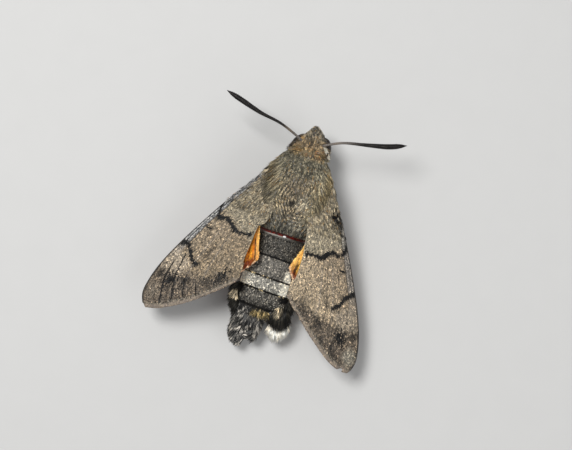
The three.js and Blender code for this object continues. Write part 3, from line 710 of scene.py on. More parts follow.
for name, sizes in bodyCoat.items():
    growCoat(name, sizes)
print("body coat")


# Eyes: faceted domes, flat behind

def eyePaint(wire, place):
    facets = wire.cells(place, 0.045, feature="DISTANCE_TO_EDGE")
    smudge = wire.grain(place, 0.5, 2.0)
    tone = wire.mix(smudge.above(0.4, 0.65), (0.005, 0.004, 0.004), (0.018, 0.01, 0.007))
    return {"Base Color": tone, "Roughness": 0.35 + smudge * 0.15, "Specular IOR Level": 0.18,
            "bump": (facets.below(0.0, 0.2) * -1.0, 0.006, 0.5)}


def makeEyes():
    material = finish("eye glaze", eyePaint)
    for side, eye in eyes.items():
        deselect()
        middle = world(eye["at"])
        bpy.ops.mesh.primitive_uv_sphere_add(segments=40, ring_count=24, radius=mm, location=middle,
                                             rotation=(0, 0, math.radians(eye["turn"])), scale=eye["size"])
        piece = bpy.context.object
        bpy.ops.object.transform_apply(location=True, rotation=True, scale=True)
        way = np.array([1.0 if side == "left" else -1.0, 0, 0])
        bpy.ops.object.mode_set(mode="EDIT")
        bpy.ops.mesh.select_all(action="SELECT")
        cut = middle - way * 0.35 * mm
        bpy.ops.mesh.bisect(plane_co=cut, plane_no=-way, use_fill=True, clear_outer=True)
        bpy.ops.object.mode_set(mode="OBJECT")
        handOver(piece, "eye" + side.title(), material, "eye", "eye_" + side)


makeEyes()


# Tubes along a line, for feelers, legs, palps and the tongue

def smoothLine(points, count):
    # A smooth line through points, as evenly spaced rows
    points = np.asarray(points, float)
    padded = np.vstack([2 * points[0] - points[1], points, 2 * points[-1] - points[-2]])
    rows = []
    for i in range(1, len(padded) - 2):
        a, b, c, d = padded[i - 1:i + 3]
        bend, twist = 2 * a - 5 * b + 4 * c - d, 3 * b - a - 3 * c + d
        for t in np.linspace(0, 1, 24, endpoint=False):
            rows.append(0.5 * (2 * b + (c - a) * t + bend * t * t + twist * t ** 3))
    rows = np.array(rows + [points[-1]])
    run = np.concatenate([[0], np.cumsum(np.linalg.norm(np.diff(rows, axis=0), axis=1))])
    at = np.linspace(0, run[-1], count)
    return stacked(*[np.interp(at, run, rows[:, k]) for k in range(3)])


def tube(points, radii, sides=12):
    # A round rod drawn along a line, with a radius at each point, and closed ends
    curve = bpy.data.curves.new("line", "CURVE")
    curve.dimensions = "3D"
    curve.bevel_depth = mm
    curve.bevel_resolution = max(sides // 4 - 1, 0)
    curve.use_fill_caps = True
    line = curve.splines.new("POLY")
    line.points.add(len(points) - 1)
    for point, co, radius in zip(line.points, world(points), radii):
        point.co = (*co, 1)
        point.radius = radius
    piece = bpy.data.objects.new("line", curve)
    bpy.context.scene.collection.objects.link(piece)
    useOnly(piece)
    bpy.ops.object.convert(target="MESH")
    return bpy.context.object


antenna = {
    "left": [(1.1, -10.4, 5.8), (1.5, -10.68, 6.5), (3.77, -11.54, 7.0), (6.23, -11.99, 7.2),
             (8.46, -12.63, 7.3), (10.4, -13.2, 7.2)],
    "right": [(-1.1, -10.5, 5.8), (-1.6, -10.8, 6.5), (-3.33, -11.55, 7.0), (-5.83, -12.08, 7.2),
              (-8.02, -12.59, 7.3), (-9.9, -13.3, 7.2)],
    # share of the length and radius
    "radius": [(0, 0.15), (0.03, 0.16), (0.06, 0.125), (0.3, 0.14), (0.48, 0.175), (0.62, 0.235),
               (0.78, 0.295), (0.88, 0.285), (0.94, 0.2), (0.975, 0.09), (1, 0.015)],
    "segments": 46,
}


def antennaPaint(wire, place):
    x, y, z = place.parts()
    run = x.math("ABSOLUTE", x)
    rings = wire.math("SINE", run * (2 * math.pi / 0.22))
    fleck = wire.grain(place, 0.07, 1.0)
    end = x.above(0, 0.01) * 1.6  # the left one darkens nearer to the head
    base = wire.mix((run + end).above(2.6, 5.6), (0.135, 0.118, 0.105), (0.0045, 0.004, 0.004))
    base = wire.mix(z.below(6.9, 7.1) * run.above(2.0, 3.0) * 0.6, base, (0.2, 0.15, 0.1))
    tone = wire.mix(fleck.above(0.6, 0.68) * 0.3, base, (0.22, 0.19, 0.15))
    return {
        "Base Color": tone.scaled(0.85 + rings * 0.2),
        "Roughness": 0.6 - fleck * 0.2,
        "Specular IOR Level": 0.12,
        "bump": (rings * 0.5 + fleck * 0.4, 0.02, 0.7),
    }


def makeAntennae():
    material = finish("feeler scales", antennaPaint)
    for side in ("left", "right"):
        count = antenna["segments"] * 4 + 1
        line = smoothLine(antenna[side], count)
        share = np.linspace(0, 1, count)
        radii = np.interp(share, *zip(*antenna["radius"]))
        radii = radii * (1 + 0.07 * np.sin(share * antenna["segments"] * 2 * math.pi))
        piece = tube(line, radii, 16)
        handOver(piece, "antenna" + side.title(), material, "antenna", "antenna_" + side)


makeAntennae()


# Palps and tongue

palp = {
    "points": [(0.85, -9.9, 3.7), (0.8, -11.0, 3.0), (0.56, -11.65, 3.35), (0.4, -11.9, 4.3)],
    "thick": 0.28, "aside": -0.34, "steps": 17,
    "fur": {"count": 1500, "length": (0.22, 0.4), "width": (0.05, 0.08), "lift": 0.3},
}
tongue = {"at": (-10.85, 2.65), "inner": 0.3, "outer": 0.8, "turns": 2.4, "start": 0.4, "thick": 0.13,
          "steps": 160, "rings": 260}


def hornPaint(wire, place):
    ring = wire.grain(place, 0.06, 2.0)
    tone = wire.mix(ring, (0.03, 0.016, 0.009), (0.09, 0.048, 0.026))
    return {"Base Color": tone, "Roughness": 0.38 + ring * 0.15, "bump": (ring, 0.02, 0.6)}


def palpColour(wire, place):
    x, y, z = place.parts()
    return wire.mix(z.above(2.7, 3.3), colours["white"], colours["face"])


def growShort(name, rng, sizes, spots, out, lie, place, coat, slot, scale=False):
    # A short coat over a small piece, with every tuft on its own
    count = sizes["count"]
    length, width = between(rng, sizes["length"], count), between(rng, sizes["width"], count)
    fur = tufts(name, spots, out, lie, length, width, sizes["lift"], shade=rng.random(count), place=place,
                sink=0.03, scale=scale)
    handOver(fur, name, coat, slot)


def makePalps():
    skinTone = finish("palp skin", lambda wire, place: {
        "Base Color": palpColour(wire, place).scaled(0.35 + wire.grain(place, 0.1) * 0.4), "Roughness": 0.7,
        "bump": (wire.grain(place, 0.05), 0.02, 0.6)})
    coat = finish("palp coat", coatPaint(palpColour))
    steps = palp["steps"]
    for side, label in ((1, "Left"), (-1, "Right")):
        line = np.array(palp["points"]) * (side, 1, 1) + (palp["aside"], 0, 0)
        line = smoothLine(withHead(line), steps)
        taper = np.interp(np.linspace(0, 1, steps), [0, 0.2, 0.5, 0.8, 1], [0.7, 0.95, 1, 0.8, 0.3])
        piece = tube(line, palp["thick"] * taper, 16)
        handOver(piece, "palp" + label, skinTone, "fur", "palp_" + label.lower())
        rng = np.random.default_rng(31)
        spots, out = spread(piece, palp["fur"]["count"], rng)
        near = np.argmin(((spots[:, None] - line[None]) ** 2).sum(2), 1)
        going = unit(np.gradient(line, axis=0))[near]
        place = stacked(np.arctan2(out[:, 0], out[:, 1]) / 6.5 + 0.5, near / (steps - 1) * 0.9 + 0.05)
        growShort("palpFur" + label, rng, palp["fur"], spots, out, going, place, coat, "fur")


def makeTongue():
    turn = np.linspace(0, 1, tongue["steps"])
    radius = tongue["outer"] + (tongue["inner"] - tongue["outer"]) * turn
    angle = turn * tongue["turns"] * 2 * math.pi + tongue["start"]
    y, z = tongue["at"]
    coil = stacked(0.0, y + radius * np.cos(angle), z + radius * np.sin(angle))
    thick = tongue["thick"] * (1 - 0.45 * turn) * (1 + 0.06 * np.sin(turn * tongue["rings"]))
    piece = tube(withHead(coil), thick, 12)
    handOver(piece, "proboscis", finish("tongue horn", hornPaint), "proboscis", "proboscis")


makePalps()
makeTongue()
print("head")


# Wings: membranes over the plan of a wing, with s along the sweep from the hinge and w to the front

wings = {
    "hinge": (2.8, -5.5), "sweep": {"left": 31.5, "right": 28.0}, "lift": 0.12,
    "top": {"costa": 5.4, "drop": 0.1, "bow": 0.0028, "rise": 2.9, "roll": 3.2, "front": 1.6, "chord": 7.1},
    "grid": (110, 70), "thick": 0.09,
}
foreShape = {
    "front": [(-0.6, 1.4), (1.4, 1.42), (5.5, 1.65), (11.3, 1.6), (15.4, 1.25), (18.2, 0.5), (19.3, -0.3)],
    # share from front to rear, start, height and half width of each vein
    "veins": [(0.015, 0, 0.12, 0.16), (0.07, 0, 0.09, 0.12), (0.15, 0, 0.09, 0.12), (0.26, 0.42, 0.06, 0.1),
              (0.37, 0.42, 0.06, 0.1), (0.48, 0.42, 0.06, 0.1), (0.59, 0.42, 0.06, 0.1),
              (0.7, 0.3, 0.06, 0.1), (0.82, 0.1, 0.07, 0.1), (0.93, 0, 0.07, 0.1)],
    "drop": 0.0, "pleat": 0.0,
}
forewing = {
    "left": {
        "rear": [(0.3, -1.3), (2.2, -2.45), (3.4, -2.95), (4.0, -2.92), (4.4, -2.74), (5.17, -3.06),
                 (5.96, -3.45), (6.76, -3.85), (7.69, -4.3), (8.71, -4.85), (9.95, -5.6)],
        "margin": [(19.65, -1.3), (18.6, -2.3), (17.1, -3.2), (15.5, -3.98), (12.7, -4.9), (11.2, -5.35),
                   (9.95, -5.6)],
    },
    "right": {
        "rear": [(0.3, -1.0), (2.5, -1.95), (4.87, -2.85), (5.85, -3.2), (7.98, -4.3), (8.8, -5.0),
                 (10.0, -5.6)],
        "margin": [(19.6, -0.9), (19.1, -1.75), (17.6, -2.85), (14.75, -4.08), (12.7, -4.78), (11.0, -5.4),
                   (10.0, -5.6)],
    },
}
for shape, tip in ((forewing["left"], (19.65, -1.3)), (forewing["right"], (19.6, -0.9))):
    shape.update(foreShape)
    shape["front"] = foreShape["front"] + [tip]
hindVeins = [(0.03, 0, 0.08, 0.1), (0.15, 0, 0.06, 0.1), (0.32, 0.35, 0.05, 0.1), (0.48, 0.35, 0.05, 0.1),
             (0.64, 0.2, 0.05, 0.1), (0.8, 0, 0.06, 0.1)]
# The hindwings lie a little differently: the left shows more of its inner lobe
hindwing = {
    "left": {
        "front": [(1.6, -0.2), (5, 0.45), (10, 0.3), (13.2, -0.8), (14.2, -2.3)],
        "rear": [(1.9, -1.1), (3.9, -2.45), (4.5, -3.0), (6.6, -5.15), (7.3, -5.38)],
        "margin": [(14.2, -2.3), (13.0, -3.8), (11.2, -4.7), (9.1, -5.1), (7.3, -5.38)],
        "veins": hindVeins, "drop": 0.8, "pleat": 0.1,
    },
    "right": {
        "front": [(1.6, -0.2), (5, 0.45), (10, 0.3), (13.2, -0.8), (14.2, -2.3)],
        "rear": [(1.9, -1.1), (4.7, -2.7), (5.8, -3.7), (6.95, -4.8)],
        "margin": [(14.2, -2.3), (13.0, -3.6), (11.0, -4.2), (8.7, -4.6), (6.95, -4.8)],
        "veins": hindVeins, "drop": 0.8, "pleat": 0.1,
    },
}
# A small piece is missing from the tip of the right forewing
tornTip = {"side": "right", "at": 0.085, "wide": 0.022, "deep": 0.02}


def wingPlan(wing, u, v):
    # s and w for shares u from root to margin and v from front to rear
    ends = {}
    for edge, at in (("front", u), ("rear", u), ("margin", v)):
        line = smoothLine([(*p, 0) for p in wing[edge]], 200)
        ends[edge] = stacked(*[np.interp(at, np.linspace(0, 1, 200), line[:, k]) for k in range(2)])
    tips = [np.array(wing[edge][-1], float) for edge in ("front", "rear")]
    v, u = v[..., None], u[..., None]
    straight = ends["front"] * (1 - v) + ends["rear"] * v
    return straight + u * (ends["margin"] - tips[0] * (1 - v) - tips[1] * v)


def wingHeight(s, w):
    t = wings["top"]
    inward = np.maximum(t["front"] - w, -1)
    roof = (1 - np.exp(-inward / t["roll"])) / (1 - math.exp(-t["chord"] / t["roll"]))
    return t["costa"] - t["drop"] * s - t["bow"] * s * s + t["rise"] * roof


def wingPlace(side, s, w, rise):
    turn = math.radians(wings["sweep"][side])
    x = wings["hinge"][0] + math.sin(turn) * s + math.cos(turn) * w
    y = wings["hinge"][1] + math.cos(turn) * s - math.sin(turn) * w
    return stacked(x if side == "left" else -x, y, wingHeight(s, w) + rise)


def wingRelief(wing, u, v, s, w):
    # Veins, the pleats of the inner hindwing, and slow waves
    rise = np.zeros_like(u)
    chord = 5.5 * np.clip(u + 0.25, 0, 1)
    for at, start, height, half in wing["veins"]:
        grow = np.clip((u - start) / 0.08 + 0.4, 0, 1) if start else 1.0
        rise += height * grow * np.exp(-((v - at) * chord / half) ** 2) * (1 - 0.5 * u)
    if wing["pleat"]:
        inner = np.clip((v - 0.6) / 0.4, 0, 1)
        rise += wing["pleat"] * inner * np.cos((v - 0.6) / 0.4 * 2 * math.pi * 4)
    rise += 0.05 * np.sin(s * 0.9 + w) * np.clip(u * 2 - 0.4, 0, 1)
    return rise - wing["drop"] + wings["lift"]


def onWing(wing, side, u, v):
    # The place on a wing's middle surface, and its s and w
    if wing is forewing[side] and side == tornTip["side"]:
        u = u * (1 - tornTip["deep"] * np.exp(-((v - tornTip["at"]) / tornTip["wide"]) ** 4) * u ** 8)
    s, w = wingPlan(wing, u, v).T
    return wingPlace(side, s, w, wingRelief(wing, u, v, s, w)), s, w


def planMap(s, w):
    return stacked(s / 20, w / 20 + 0.5)


def writeMaps(piece, **maps):
    # UV maps from a row of values for each vertex
    loops = np.zeros(len(piece.data.loops), np.int32)
    piece.data.loops.foreach_get("vertex_index", loops)
    for name, rows in maps.items():
        layer = piece.data.uv_layers.get(name) or piece.data.uv_layers.new(name=name)
        layer.data.foreach_set("uv", rows[loops].astype(np.float32).ravel())


def makeMembrane(name, wing, side, material, slot, node):
    rows, columns = wings["grid"]
    deselect()
    bpy.ops.mesh.primitive_grid_add(x_subdivisions=rows, y_subdivisions=columns, size=2)
    piece = bpy.context.object
    u, v = (vertexRows(piece)[:, :2].T + 1) / 2
    at, s, w = onWing(wing, side, u, v)
    moveTo(piece, at)
    piece.data.uv_layers[0].name = "plan"
    writeMaps(piece, plan=planMap(s, w), share=stacked(u, v))
    if np.mean([p.normal.z for p in piece.data.polygons]) < 0:
        piece.data.flip_normals()
    applyModifier(piece, "SOLIDIFY", thickness=wings["thick"] * mm, offset=0)
    return handOver(piece, name, material, slot, node)


# The coat of a wing: how many roots and tufts on each, sizes, lift, how far out it grows, and the share
# that is moved to the rear edge
wingCoat = {
    "forewingScales": {"count": 29000, "length": (0.16, 0.25), "width": (0.08, 0.12), "lift": 0.15},
    "forewingHair": {"count": 2600, "times": 2, "length": (0.4, 0.8), "width": (0.065, 0.095), "lift": 0.16,
                     "reach": 0.27},
    "forewingUnderScales": {"count": 4500, "length": (0.4, 0.6), "width": (0.19, 0.27), "lift": 0.12},
    "forewingFringe": {"count": 4200, "length": (0.2, 0.25), "width": (0.07, 0.1), "lift": 0.0},
    "hindwingScales": {"count": 7000, "length": (0.24, 0.38), "width": (0.08, 0.13), "lift": 0.1,
                       "inner": 0.6},
    "hindwingUnderScales": {"count": 3500, "length": (0.34, 0.5), "width": (0.16, 0.22), "lift": 0.12},
    "hindwingFringe": {"count": 1900, "length": (0.28, 0.4), "width": (0.06, 0.1), "lift": 0.0},
}


def growScales(kind, wing, side, material, slot, seed):
    # Overlapping scales, hair or a fringe over a wing, rooted towards its base
    sizes = wingCoat[kind]
    rng = np.random.default_rng(seed)
    count = sizes["count"]
    under = "Under" in kind
    step = 0.004
    if "Fringe" in kind:
        share = rng.random(count) * 1.1
        u = np.where(share < 1, 0.976 + 0.014 * rng.random(count), 1 - (share - 1) * 1.8)
        v = np.where(share < 1, share, 0.985 + 0.012 * rng.random(count))
    else:
        u, v = rng.random((2, count * 3)) * 0.985 + 0.008
        u = u * (0.96 if under else 0.978)  # their tips end at the margin
        v = v * (0.975 if under else 1.0)
        if "reach" in sizes:
            u = u ** 1.5 * sizes["reach"]
        if "inner" in sizes:  # denser where it shows, at the rear edge
            v = np.where(rng.random(count * 3) < sizes["inner"], 1 - (1 - v) * 0.3, v)
    spots, s, w = onWing(wing, side, u, v)
    along = onWing(wing, side, u + step, v)[0] - spots
    across = onWing(wing, side, u, v + step)[0] - spots
    out = np.cross(along, across)
    area = np.linalg.norm(out, axis=1)
    out = unit(out) * np.sign(out[:, 2:3]) * (-1 if under else 1)
    lie = unit(along)
    if "Fringe" in kind:
        corner = 0.6 * unit(along) + unit(across)
        lie = np.where((share < 1)[:, None], unit(along) + 0.3 * unit(across), corner)
        keep = np.arange(count)
    else:
        keep = np.nonzero(rng.random(len(u)) < area / np.quantile(area, 0.97))[0][:count]
    times = sizes.get("times", 1)
    every = (spots + out * wings["thick"] / 2, out, lie, s, w, u, v)
    spots, out, lie, s, w, u, v = [np.repeat(row[keep], times, 0) for row in every]
    n = len(spots)
    shade = flecks(rng, w, s, 0.1, 0.16)
    spots = spots + unit(np.cross(lie, out)) * rng.normal(0, 0.05, (n, 1)) * (times > 1)
    way = lie + rng.normal(0, 0.06 if "Fringe" in kind else 0.13, (n, 3))
    length = between(rng, sizes["length"], n)
    if kind == "hindwingFringe":
        length = length * np.where(share < 1, 1.0, 0.5)
    width = between(rng, sizes["width"], n)
    lift = sizes["lift"] + rng.normal(0, 0.05, n)
    piece = tufts(kind + side.title(), spots, out, way, length, width, lift, shade=shade,
                  tint=rng.random(n), place=stacked(s / 21 + 0.04, w / 21 + 0.5) * 0.95,
                  thin=0.16 if times == 1 else 0.35, sink=0.02, scale=times == 1)
    corners = len(piece.data.vertices) // n
    writeMaps(piece, plan=np.repeat(planMap(s, w), corners, 0), share=np.repeat(stacked(u, v), corners, 0))
    return handOver(piece, kind + side.title(), material, slot)


# Markings of the forewings: lines as points of s and w, strokes from point to point with half width and
# strength, and blots with their place, two radii and strength
marks = {
    "left": {
        "inner": [(5.93, 1.58), (6.6, 1.15), (6.98, 0.7), (6.39, 0.11), (6.4, -0.63), (6.58, -1.32),
                  (6.24, -2.15), (5.5, -2.96)],
        "outer": [(11.8, 1.45), (11.5, 1.05), (11.4, 0.75), (11.65, 0.31), (11.97, -0.26), (12.22, -0.88),
                  (12.25, -1.2), (12.1, -1.55)],
        "strokes": [((13.85, 0.45), (15.95, -0.25), 0.1, 0.95), ((15.95, -0.25), (18.2, -1.95), 0.11, 0.95),
                    ((12.15, 0.27), (14.8, -0.86), 0.1, 0.95), ((14.8, -0.86), (17.3, -2.8), 0.12, 0.95),
                    ((14.2, -1.8), (15.7, -3.0), 0.1, 0.95), ((13.6, -2.9), (14.6, -4.05), 0.1, 0.9),
                    ((12.2, -1.5), (9.4, -1.3), 0.28, 0.4), ((8.7, 0.98), (8.42, 0.25), 0.18, 1.0)],
        "blots": [(15.75, 0.35, 0.45, 0.3, 0.8), (15.5, -0.8, 0.85, 0.6, 1.0), (6.75, 0.75, 0.45, 0.3, 1.0),
                  (11.7, 1.2, 0.4, 0.3, 1.0), (11.0, -4.15, 1.1, 0.5, 0.95), (12.4, -3.5, 0.8, 0.4, 0.6),
                  (14.3, -1.9, 0.45, 0.45, 0.8), (6.55, -1.35, 0.25, 0.35, 1.0), (15.0, -2.2, 0.6, 0.4, 0.6)],
    },
    "right": {
        "inner": [(6.03, 1.55), (6.66, 0.96), (6.63, 0.43), (6.25, -0.03), (6.33, -0.57), (6.55, -1.29),
                  (6.39, -1.64), (6.0, -2.3), (5.83, -2.95)],
        "outer": [(11.2, 1.5), (11.23, 1.1), (11.25, 0.74), (11.44, 0.37), (11.75, 0.01), (12.05, -0.37),
                  (12.13, -0.8), (12.31, -1.3)],
        "strokes": [((12.4, -1.6), (9.8, -1.9), 0.26, 0.4), ((1.8, 1.35), (4.6, 1.2), 0.2, 0.8),
                    ((15.2, -1.2), (16.6, -2.2), 0.2, 0.6), ((8.25, 0.38), (8.65, 0.95), 0.19, 1.0)],
        "blots": [(15.6, -0.95, 0.95, 0.6, 1.0), (15.75, 0.5, 0.45, 0.4, 0.7), (11.1, -4.1, 1.0, 0.6, 0.5),
                  (13.5, -3.0, 0.7, 0.4, 0.8), (15.5, -3.0, 0.7, 0.35, 0.6), (17.1, -2.1, 0.8, 0.4, 0.7),
                  (6.1, 1.45, 0.3, 0.3, 1.0), (11.3, 1.2, 0.3, 0.35, 0.9), (2.4, 0.95, 0.9, 0.38, 1.0),
                  (6.55, -1.3, 0.25, 0.4, 1.0), (6.3, 0.0, 0.2, 0.35, 0.9), (11.4, 0.5, 0.25, 0.4, 0.9)],
    },
}
wingTones = {
    "base": (0.27, 0.232, 0.165), "middle": (0.32, 0.252, 0.174), "inner": (0.4, 0.317, 0.215),
    "innerLeft": (0.272, 0.21, 0.138), "pale": (0.36, 0.297, 0.221), "outer": (0.273, 0.216, 0.157),
    # the silver tone is pale scales and a painted sheen
    "margin": (0.24, 0.189, 0.139), "line": (0.003, 0.0028, 0.0025), "silverSheen": (0.46, 0.46, 0.45),
    "shadow": (0.03, 0.028, 0.027), "steel": (0.24, 0.24, 0.245), "dark": (0.02, 0.016, 0.012),
    "apex": (0.28, 0.258, 0.205), "fringe": (0.19, 0.152, 0.12), "under": (0.36, 0.17, 0.06),
    "underOuter": (0.19, 0.125, 0.08),
}
# How the two forewings differ: brightness of the base, the pale part and all of it, where the lines of
# the front edge start, how strong and bright they are (the silver lines partly as painted sheen), and the
# half width of the inner wavy line
wingSides = {
    "left": {"base": 1.09, "pale": 1.16, "all": 0.91, "starts": (-0.4, 0.4), "strong": 0.85, "bright": 1.0,
             "apex": 0.15, "inner": "innerLeft", "wavy": 0.3},
    "right": {"base": 1.28, "pale": 0.92, "all": 0.96, "starts": (1.0, 4.0), "strong": 0.45, "bright": 0.35,
              "apex": 0.8, "inner": "inner", "wavy": 0.33},
}


def planOf(wire):
    # s, w and the two shares of a wing, with the plan as a place for noise
    a, b, c = wire.node("UVMap", uv_map="plan").parts()
    u, v, c = wire.node("UVMap", uv_map="share").parts()
    s, w = a * 20.0, (b - 0.5) * 20.0
    return s, w, u, v, wire.node("CombineXYZ", {0: s, 1: w, 2: 0.0})


def lineMask(wire, s, w, points, half):
    # 1 on a wavy line of points, 0 away from it: s is read off a curve over w
    low, high = min(p[1] for p in points), max(p[1] for p in points)
    least = min(p[0] for p in points) - 1
    made = wire.tree.nodes.new("ShaderNodeFloatCurve")
    curve = made.mapping.curves[0]
    rows = sorted(((p[1] - low) / (high - low), (p[0] - least) / 4) for p in points)
    while len(curve.points) < len(rows):
        curve.points.new(0.5, 0.5)
    for point, row in zip(curve.points, rows):
        point.location = row
        point.handle_type = "AUTO"
    made.mapping.update()
    wire.tree.links.new(((w - low) / (high - low)).socket, made.inputs["Value"])
    wanted = Wire(wire.tree, made.outputs[0]) * 4.0 + least
    inside = w.above(low - 0.08, low + 0.02) * w.below(high - 0.02, high + 0.08)
    return s.away(wanted).below(half * 0.72, half) * inside


def strokeMask(s, w, start, end, half):
    # 1 on a straight stroke, thinning out at both ends
    reach = math.dist(start, end)
    ahead = ((end[0] - start[0]) / reach, (end[1] - start[1]) / reach)
    run = (s - start[0]) * ahead[0] + (w - start[1]) * ahead[1]
    side = (s - start[0]) * ahead[1] - (w - start[1]) * ahead[0]
    mask = side.away(0.0).below(half * 0.65, half) * run.above(-0.2, 0.2)
    return mask * run.below(reach - 0.2, reach + 0.2)


def forewingColour(side):
    def colour(wire, place):
        s, w, u, v, flat = planOf(wire)
        t, own = wingTones, wingSides[side]
        soft = wire.grain(flat, 1.6, 3.0) - 0.5
        rough = wire.grain(flat, 0.35, 2.0) - 0.5
        speck = wire.grain(flat, 0.16, 1.0, stretch=(0.6, 1, 1)) - 0.5
        crumb = wire.grain(flat, 0.13, 1.0, stretch=(0.6, 1, 1))
        dots = wire.grain(flat, 0.2, 2.0).above(0.48, 0.56)
        pepper = wire.grain(flat, 0.15, 1.0).above(0.44, 0.54)
        ss = s + soft * 1.0 + rough * 0.3
        innerPart = (w * -1.0 + s * 0.1 + soft * 2.0).above(0.5, 3.6)
        tone = wire.mix(innerPart, t["middle"], t[own["inner"]])
        tone = wire.mix(ss.below(5.6, 6.5), tone, dimmed(t["base"], own["base"]))
        pale = dimmed(t["pale"], own["pale"])
        tone = wire.mix(ss.above(12.2, 13.0) * (w + rough).above(-1.6, -0.6), tone, pale)
        for at in (0.26, 0.37, 0.48, 0.59, 0.7, 0.82):
            vein = v.away(at).below(0.004, 0.014) * s.above(7.0, 8.0)
            tone = wire.mix(vein * 0.3, tone, t["steel"] if at in (0.37, 0.59) else t["dark"])
        edge = ss + wire.math("MAXIMUM", w * -1.0 - 0.3, 0.0)
        outer = (edge - 14.4 + rough * 2.5).above(0.0, 1.5)
        tone = wire.mix(outer, tone, t["outer"])
        tone = wire.mix((edge + rough * 2.0).above(16.8, 18.4), tone, t["margin"])
        tone = wire.mix(outer * pepper * 0.66, tone, t["dark"])
        smoke = (edge + rough * 2.4).away(15.7).below(0.2, 1.2)
        tone = wire.mix(smoke * dots * 0.6, tone, t["dark"])
        smear = (rough + soft * 0.5).above(0.02, 0.14) * (edge + rough).above(14.2, 16.0)
        tone = wire.mix(smear * 0.3, tone, t["dark"])
        # darker and dotted along a diagonal across the middle of the wing
        diagonalDark = (soft + rough * 0.4).above(0.03, 0.12) * (s + w * 1.2).away(7.6).below(0.6, 2.2)
        tone = wire.mix(diagonalDark * dots * 0.45, tone, t["dark"])
        # pale and dark lines along the front edge; the silver ones are partly pale scales, partly painted
        # sheen of the rolled edge
        bright = own["bright"]
        costa = v.below(0.1, 0.115) * s.below(10.0, 14.0) * s.above(*own["starts"]) * own["strong"]
        tone = wire.mix(costa, tone, t["steel"])
        bend = v + rough * 0.012
        tone = wire.mix(costa * bend.away(0.048).below(0.006, 0.013), tone, t["shadow"])
        # painted sheen: the silver lines, brighter on the left wing
        tone = wire.mix(costa * bend.away(0.03).below(0.008, 0.014) * bright, tone, t["silverSheen"])
        tone = wire.mix(costa * bend.away(0.068).below(0.005, 0.012) * 0.8 * bright, tone, t["silverSheen"])
        tone = wire.mix(bend.away(0.105).below(0.006, 0.014) * s.below(10.5, 12.0) * 0.7, tone, t["dark"])
        tone = wire.mix(v.below(0.01, 0.022) * 0.9, tone, t["dark"])
        apex = (((s - 17.9) ** 2.0 + (w + 0.35) ** 2.0 * 2.0) ** 0.5 + rough).below(0.5, 1.4)
        tone = wire.mix(apex * own["apex"], tone, t["apex"])
        ragged = dots * 0.2 + 0.8
        for start, end, half, strength in marks[side]["strokes"]:
            faint = ragged * strength if strength < 0.9 else strength
            tone = wire.mix(strokeMask(s, w + rough * 0.2, start, end, half) * faint, tone, t["line"])
        for at, cross, longer, wide, strength in marks[side]["blots"]:
            away = (((s - at) / longer) ** 2.0 + ((w - cross) / wide) ** 2.0) ** 0.5
            crumbs = (away * -1.0 + crumb * 5.0 + rough * 1.6).above(1.45, 1.65)
            tone = wire.mix(crumbs * away.below(1.2, 1.9) * strength, tone, t["line"])
        jag = s + rough * 0.7 + speck * 0.6
        for line, half in (("inner", own["wavy"]), ("outer", 0.3)):
            tone = wire.mix(lineMask(wire, jag, w, marks[side][line], half), tone, t["line"])
        tone = wire.mix(u.above(0.94, 0.948) * u.below(0.955, 0.965) * 0.3, tone, t["dark"])
        tone = wire.mix(u.above(0.96, 0.966) * u.below(0.972, 0.978) * 0.35, tone, t["apex"])
        fringe = wire.mix(wire.grain(flat, 0.5, 1.0).above(0.4, 0.6), t["fringe"], t["outer"])
        tone = wire.mix(u.above(0.976, 0.98), tone, fringe)
        return tone.scaled(wire.math("POWER", 6.0, speck) * own["all"])
    return colour


def forewingUnder(wire, place):
    s, w, u, v, flat = planOf(wire)
    ss = s + (wire.grain(flat, 1.5, 3.0) - 0.5) * 1.5
    return wire.mix(ss.above(10.0, 15.0), wingTones["under"], wingTones["underOuter"])


def hindwingColour(side):
    # the fold, painted dark as shade in its crease, and where the brown margin starts
    start, end, half, margins = {
        "left": ((5.4, -3.35), (7.2, -5.35), 0.09, (0.84, 0.93)),
        "right": ((6.6, -3.75), (7.6, -4.45), 0.14, (0.9, 0.97)),
    }[side]

    def colour(wire, place):
        s, w, u, v, flat = planOf(wire)
        soft = wire.grain(flat, 1.2, 3.0) - 0.5
        rough = wire.grain(flat, 0.3, 2.0) - 0.5
        share = wire.node("CombineXYZ", {0: u * 2.0, 1: v * 22.0, 2: 0.0})
        streak = wire.grain(share, 1.0, 2.0)
        tone = wire.mix(streak.above(0.4, 0.6), (0.6, 0.16, 0.007), (0.8, 0.36, 0.03))
        # painted light: the right hindwing is painted a brighter orange than the left, for the fuller light
        # it lies in
        if side == "right":
            tone = wire.mix(0.75, tone, (1.0, 0.62, 0.13))
        inner = (v + rough * 0.1).above(0.9, 0.97)
        tone = wire.mix(inner * 0.6, tone, (1.0, 0.62, 0.2))
        # painted shade in the troughs of the pleats
        pleats = wire.math("COSINE", (v - 0.6) * (2 * math.pi * 4 / 0.4)).below(-0.98, -0.75)
        tone = wire.mix(pleats * v.above(0.58, 0.64) * 0.55, tone, (0.12, 0.03, 0.006))
        margin = (u + v * 0.04 + rough * 0.12 + soft * 0.05).above(*margins)
        tone = wire.mix(margin * (1 - inner * 0.6), tone, (0.2, 0.04, 0.01))
        tone = wire.mix(s.below(2.0, 4.0) * 0.75, tone, (0.06, 0.035, 0.02))
        # painted shade along the fold
        tone = wire.mix(strokeMask(s, w, start, end, half) * 0.9, tone, (0.03, 0.012, 0.006))
        return wire.mix((u + rough * 0.04).above(0.97, 0.985), tone, (0.72, 0.47, 0.3))
    return colour


def membranePaint(colour):
    def paint(wire, place):
        fine = wire.cells(place, 0.1)
        return {
            "Base Color": colour(wire, place).scaled(0.45 + fine * 0.5),
            "Roughness": 0.75 - fine * 0.1,
            "bump": (fine, 0.03, 0.6),
        }
    return paint


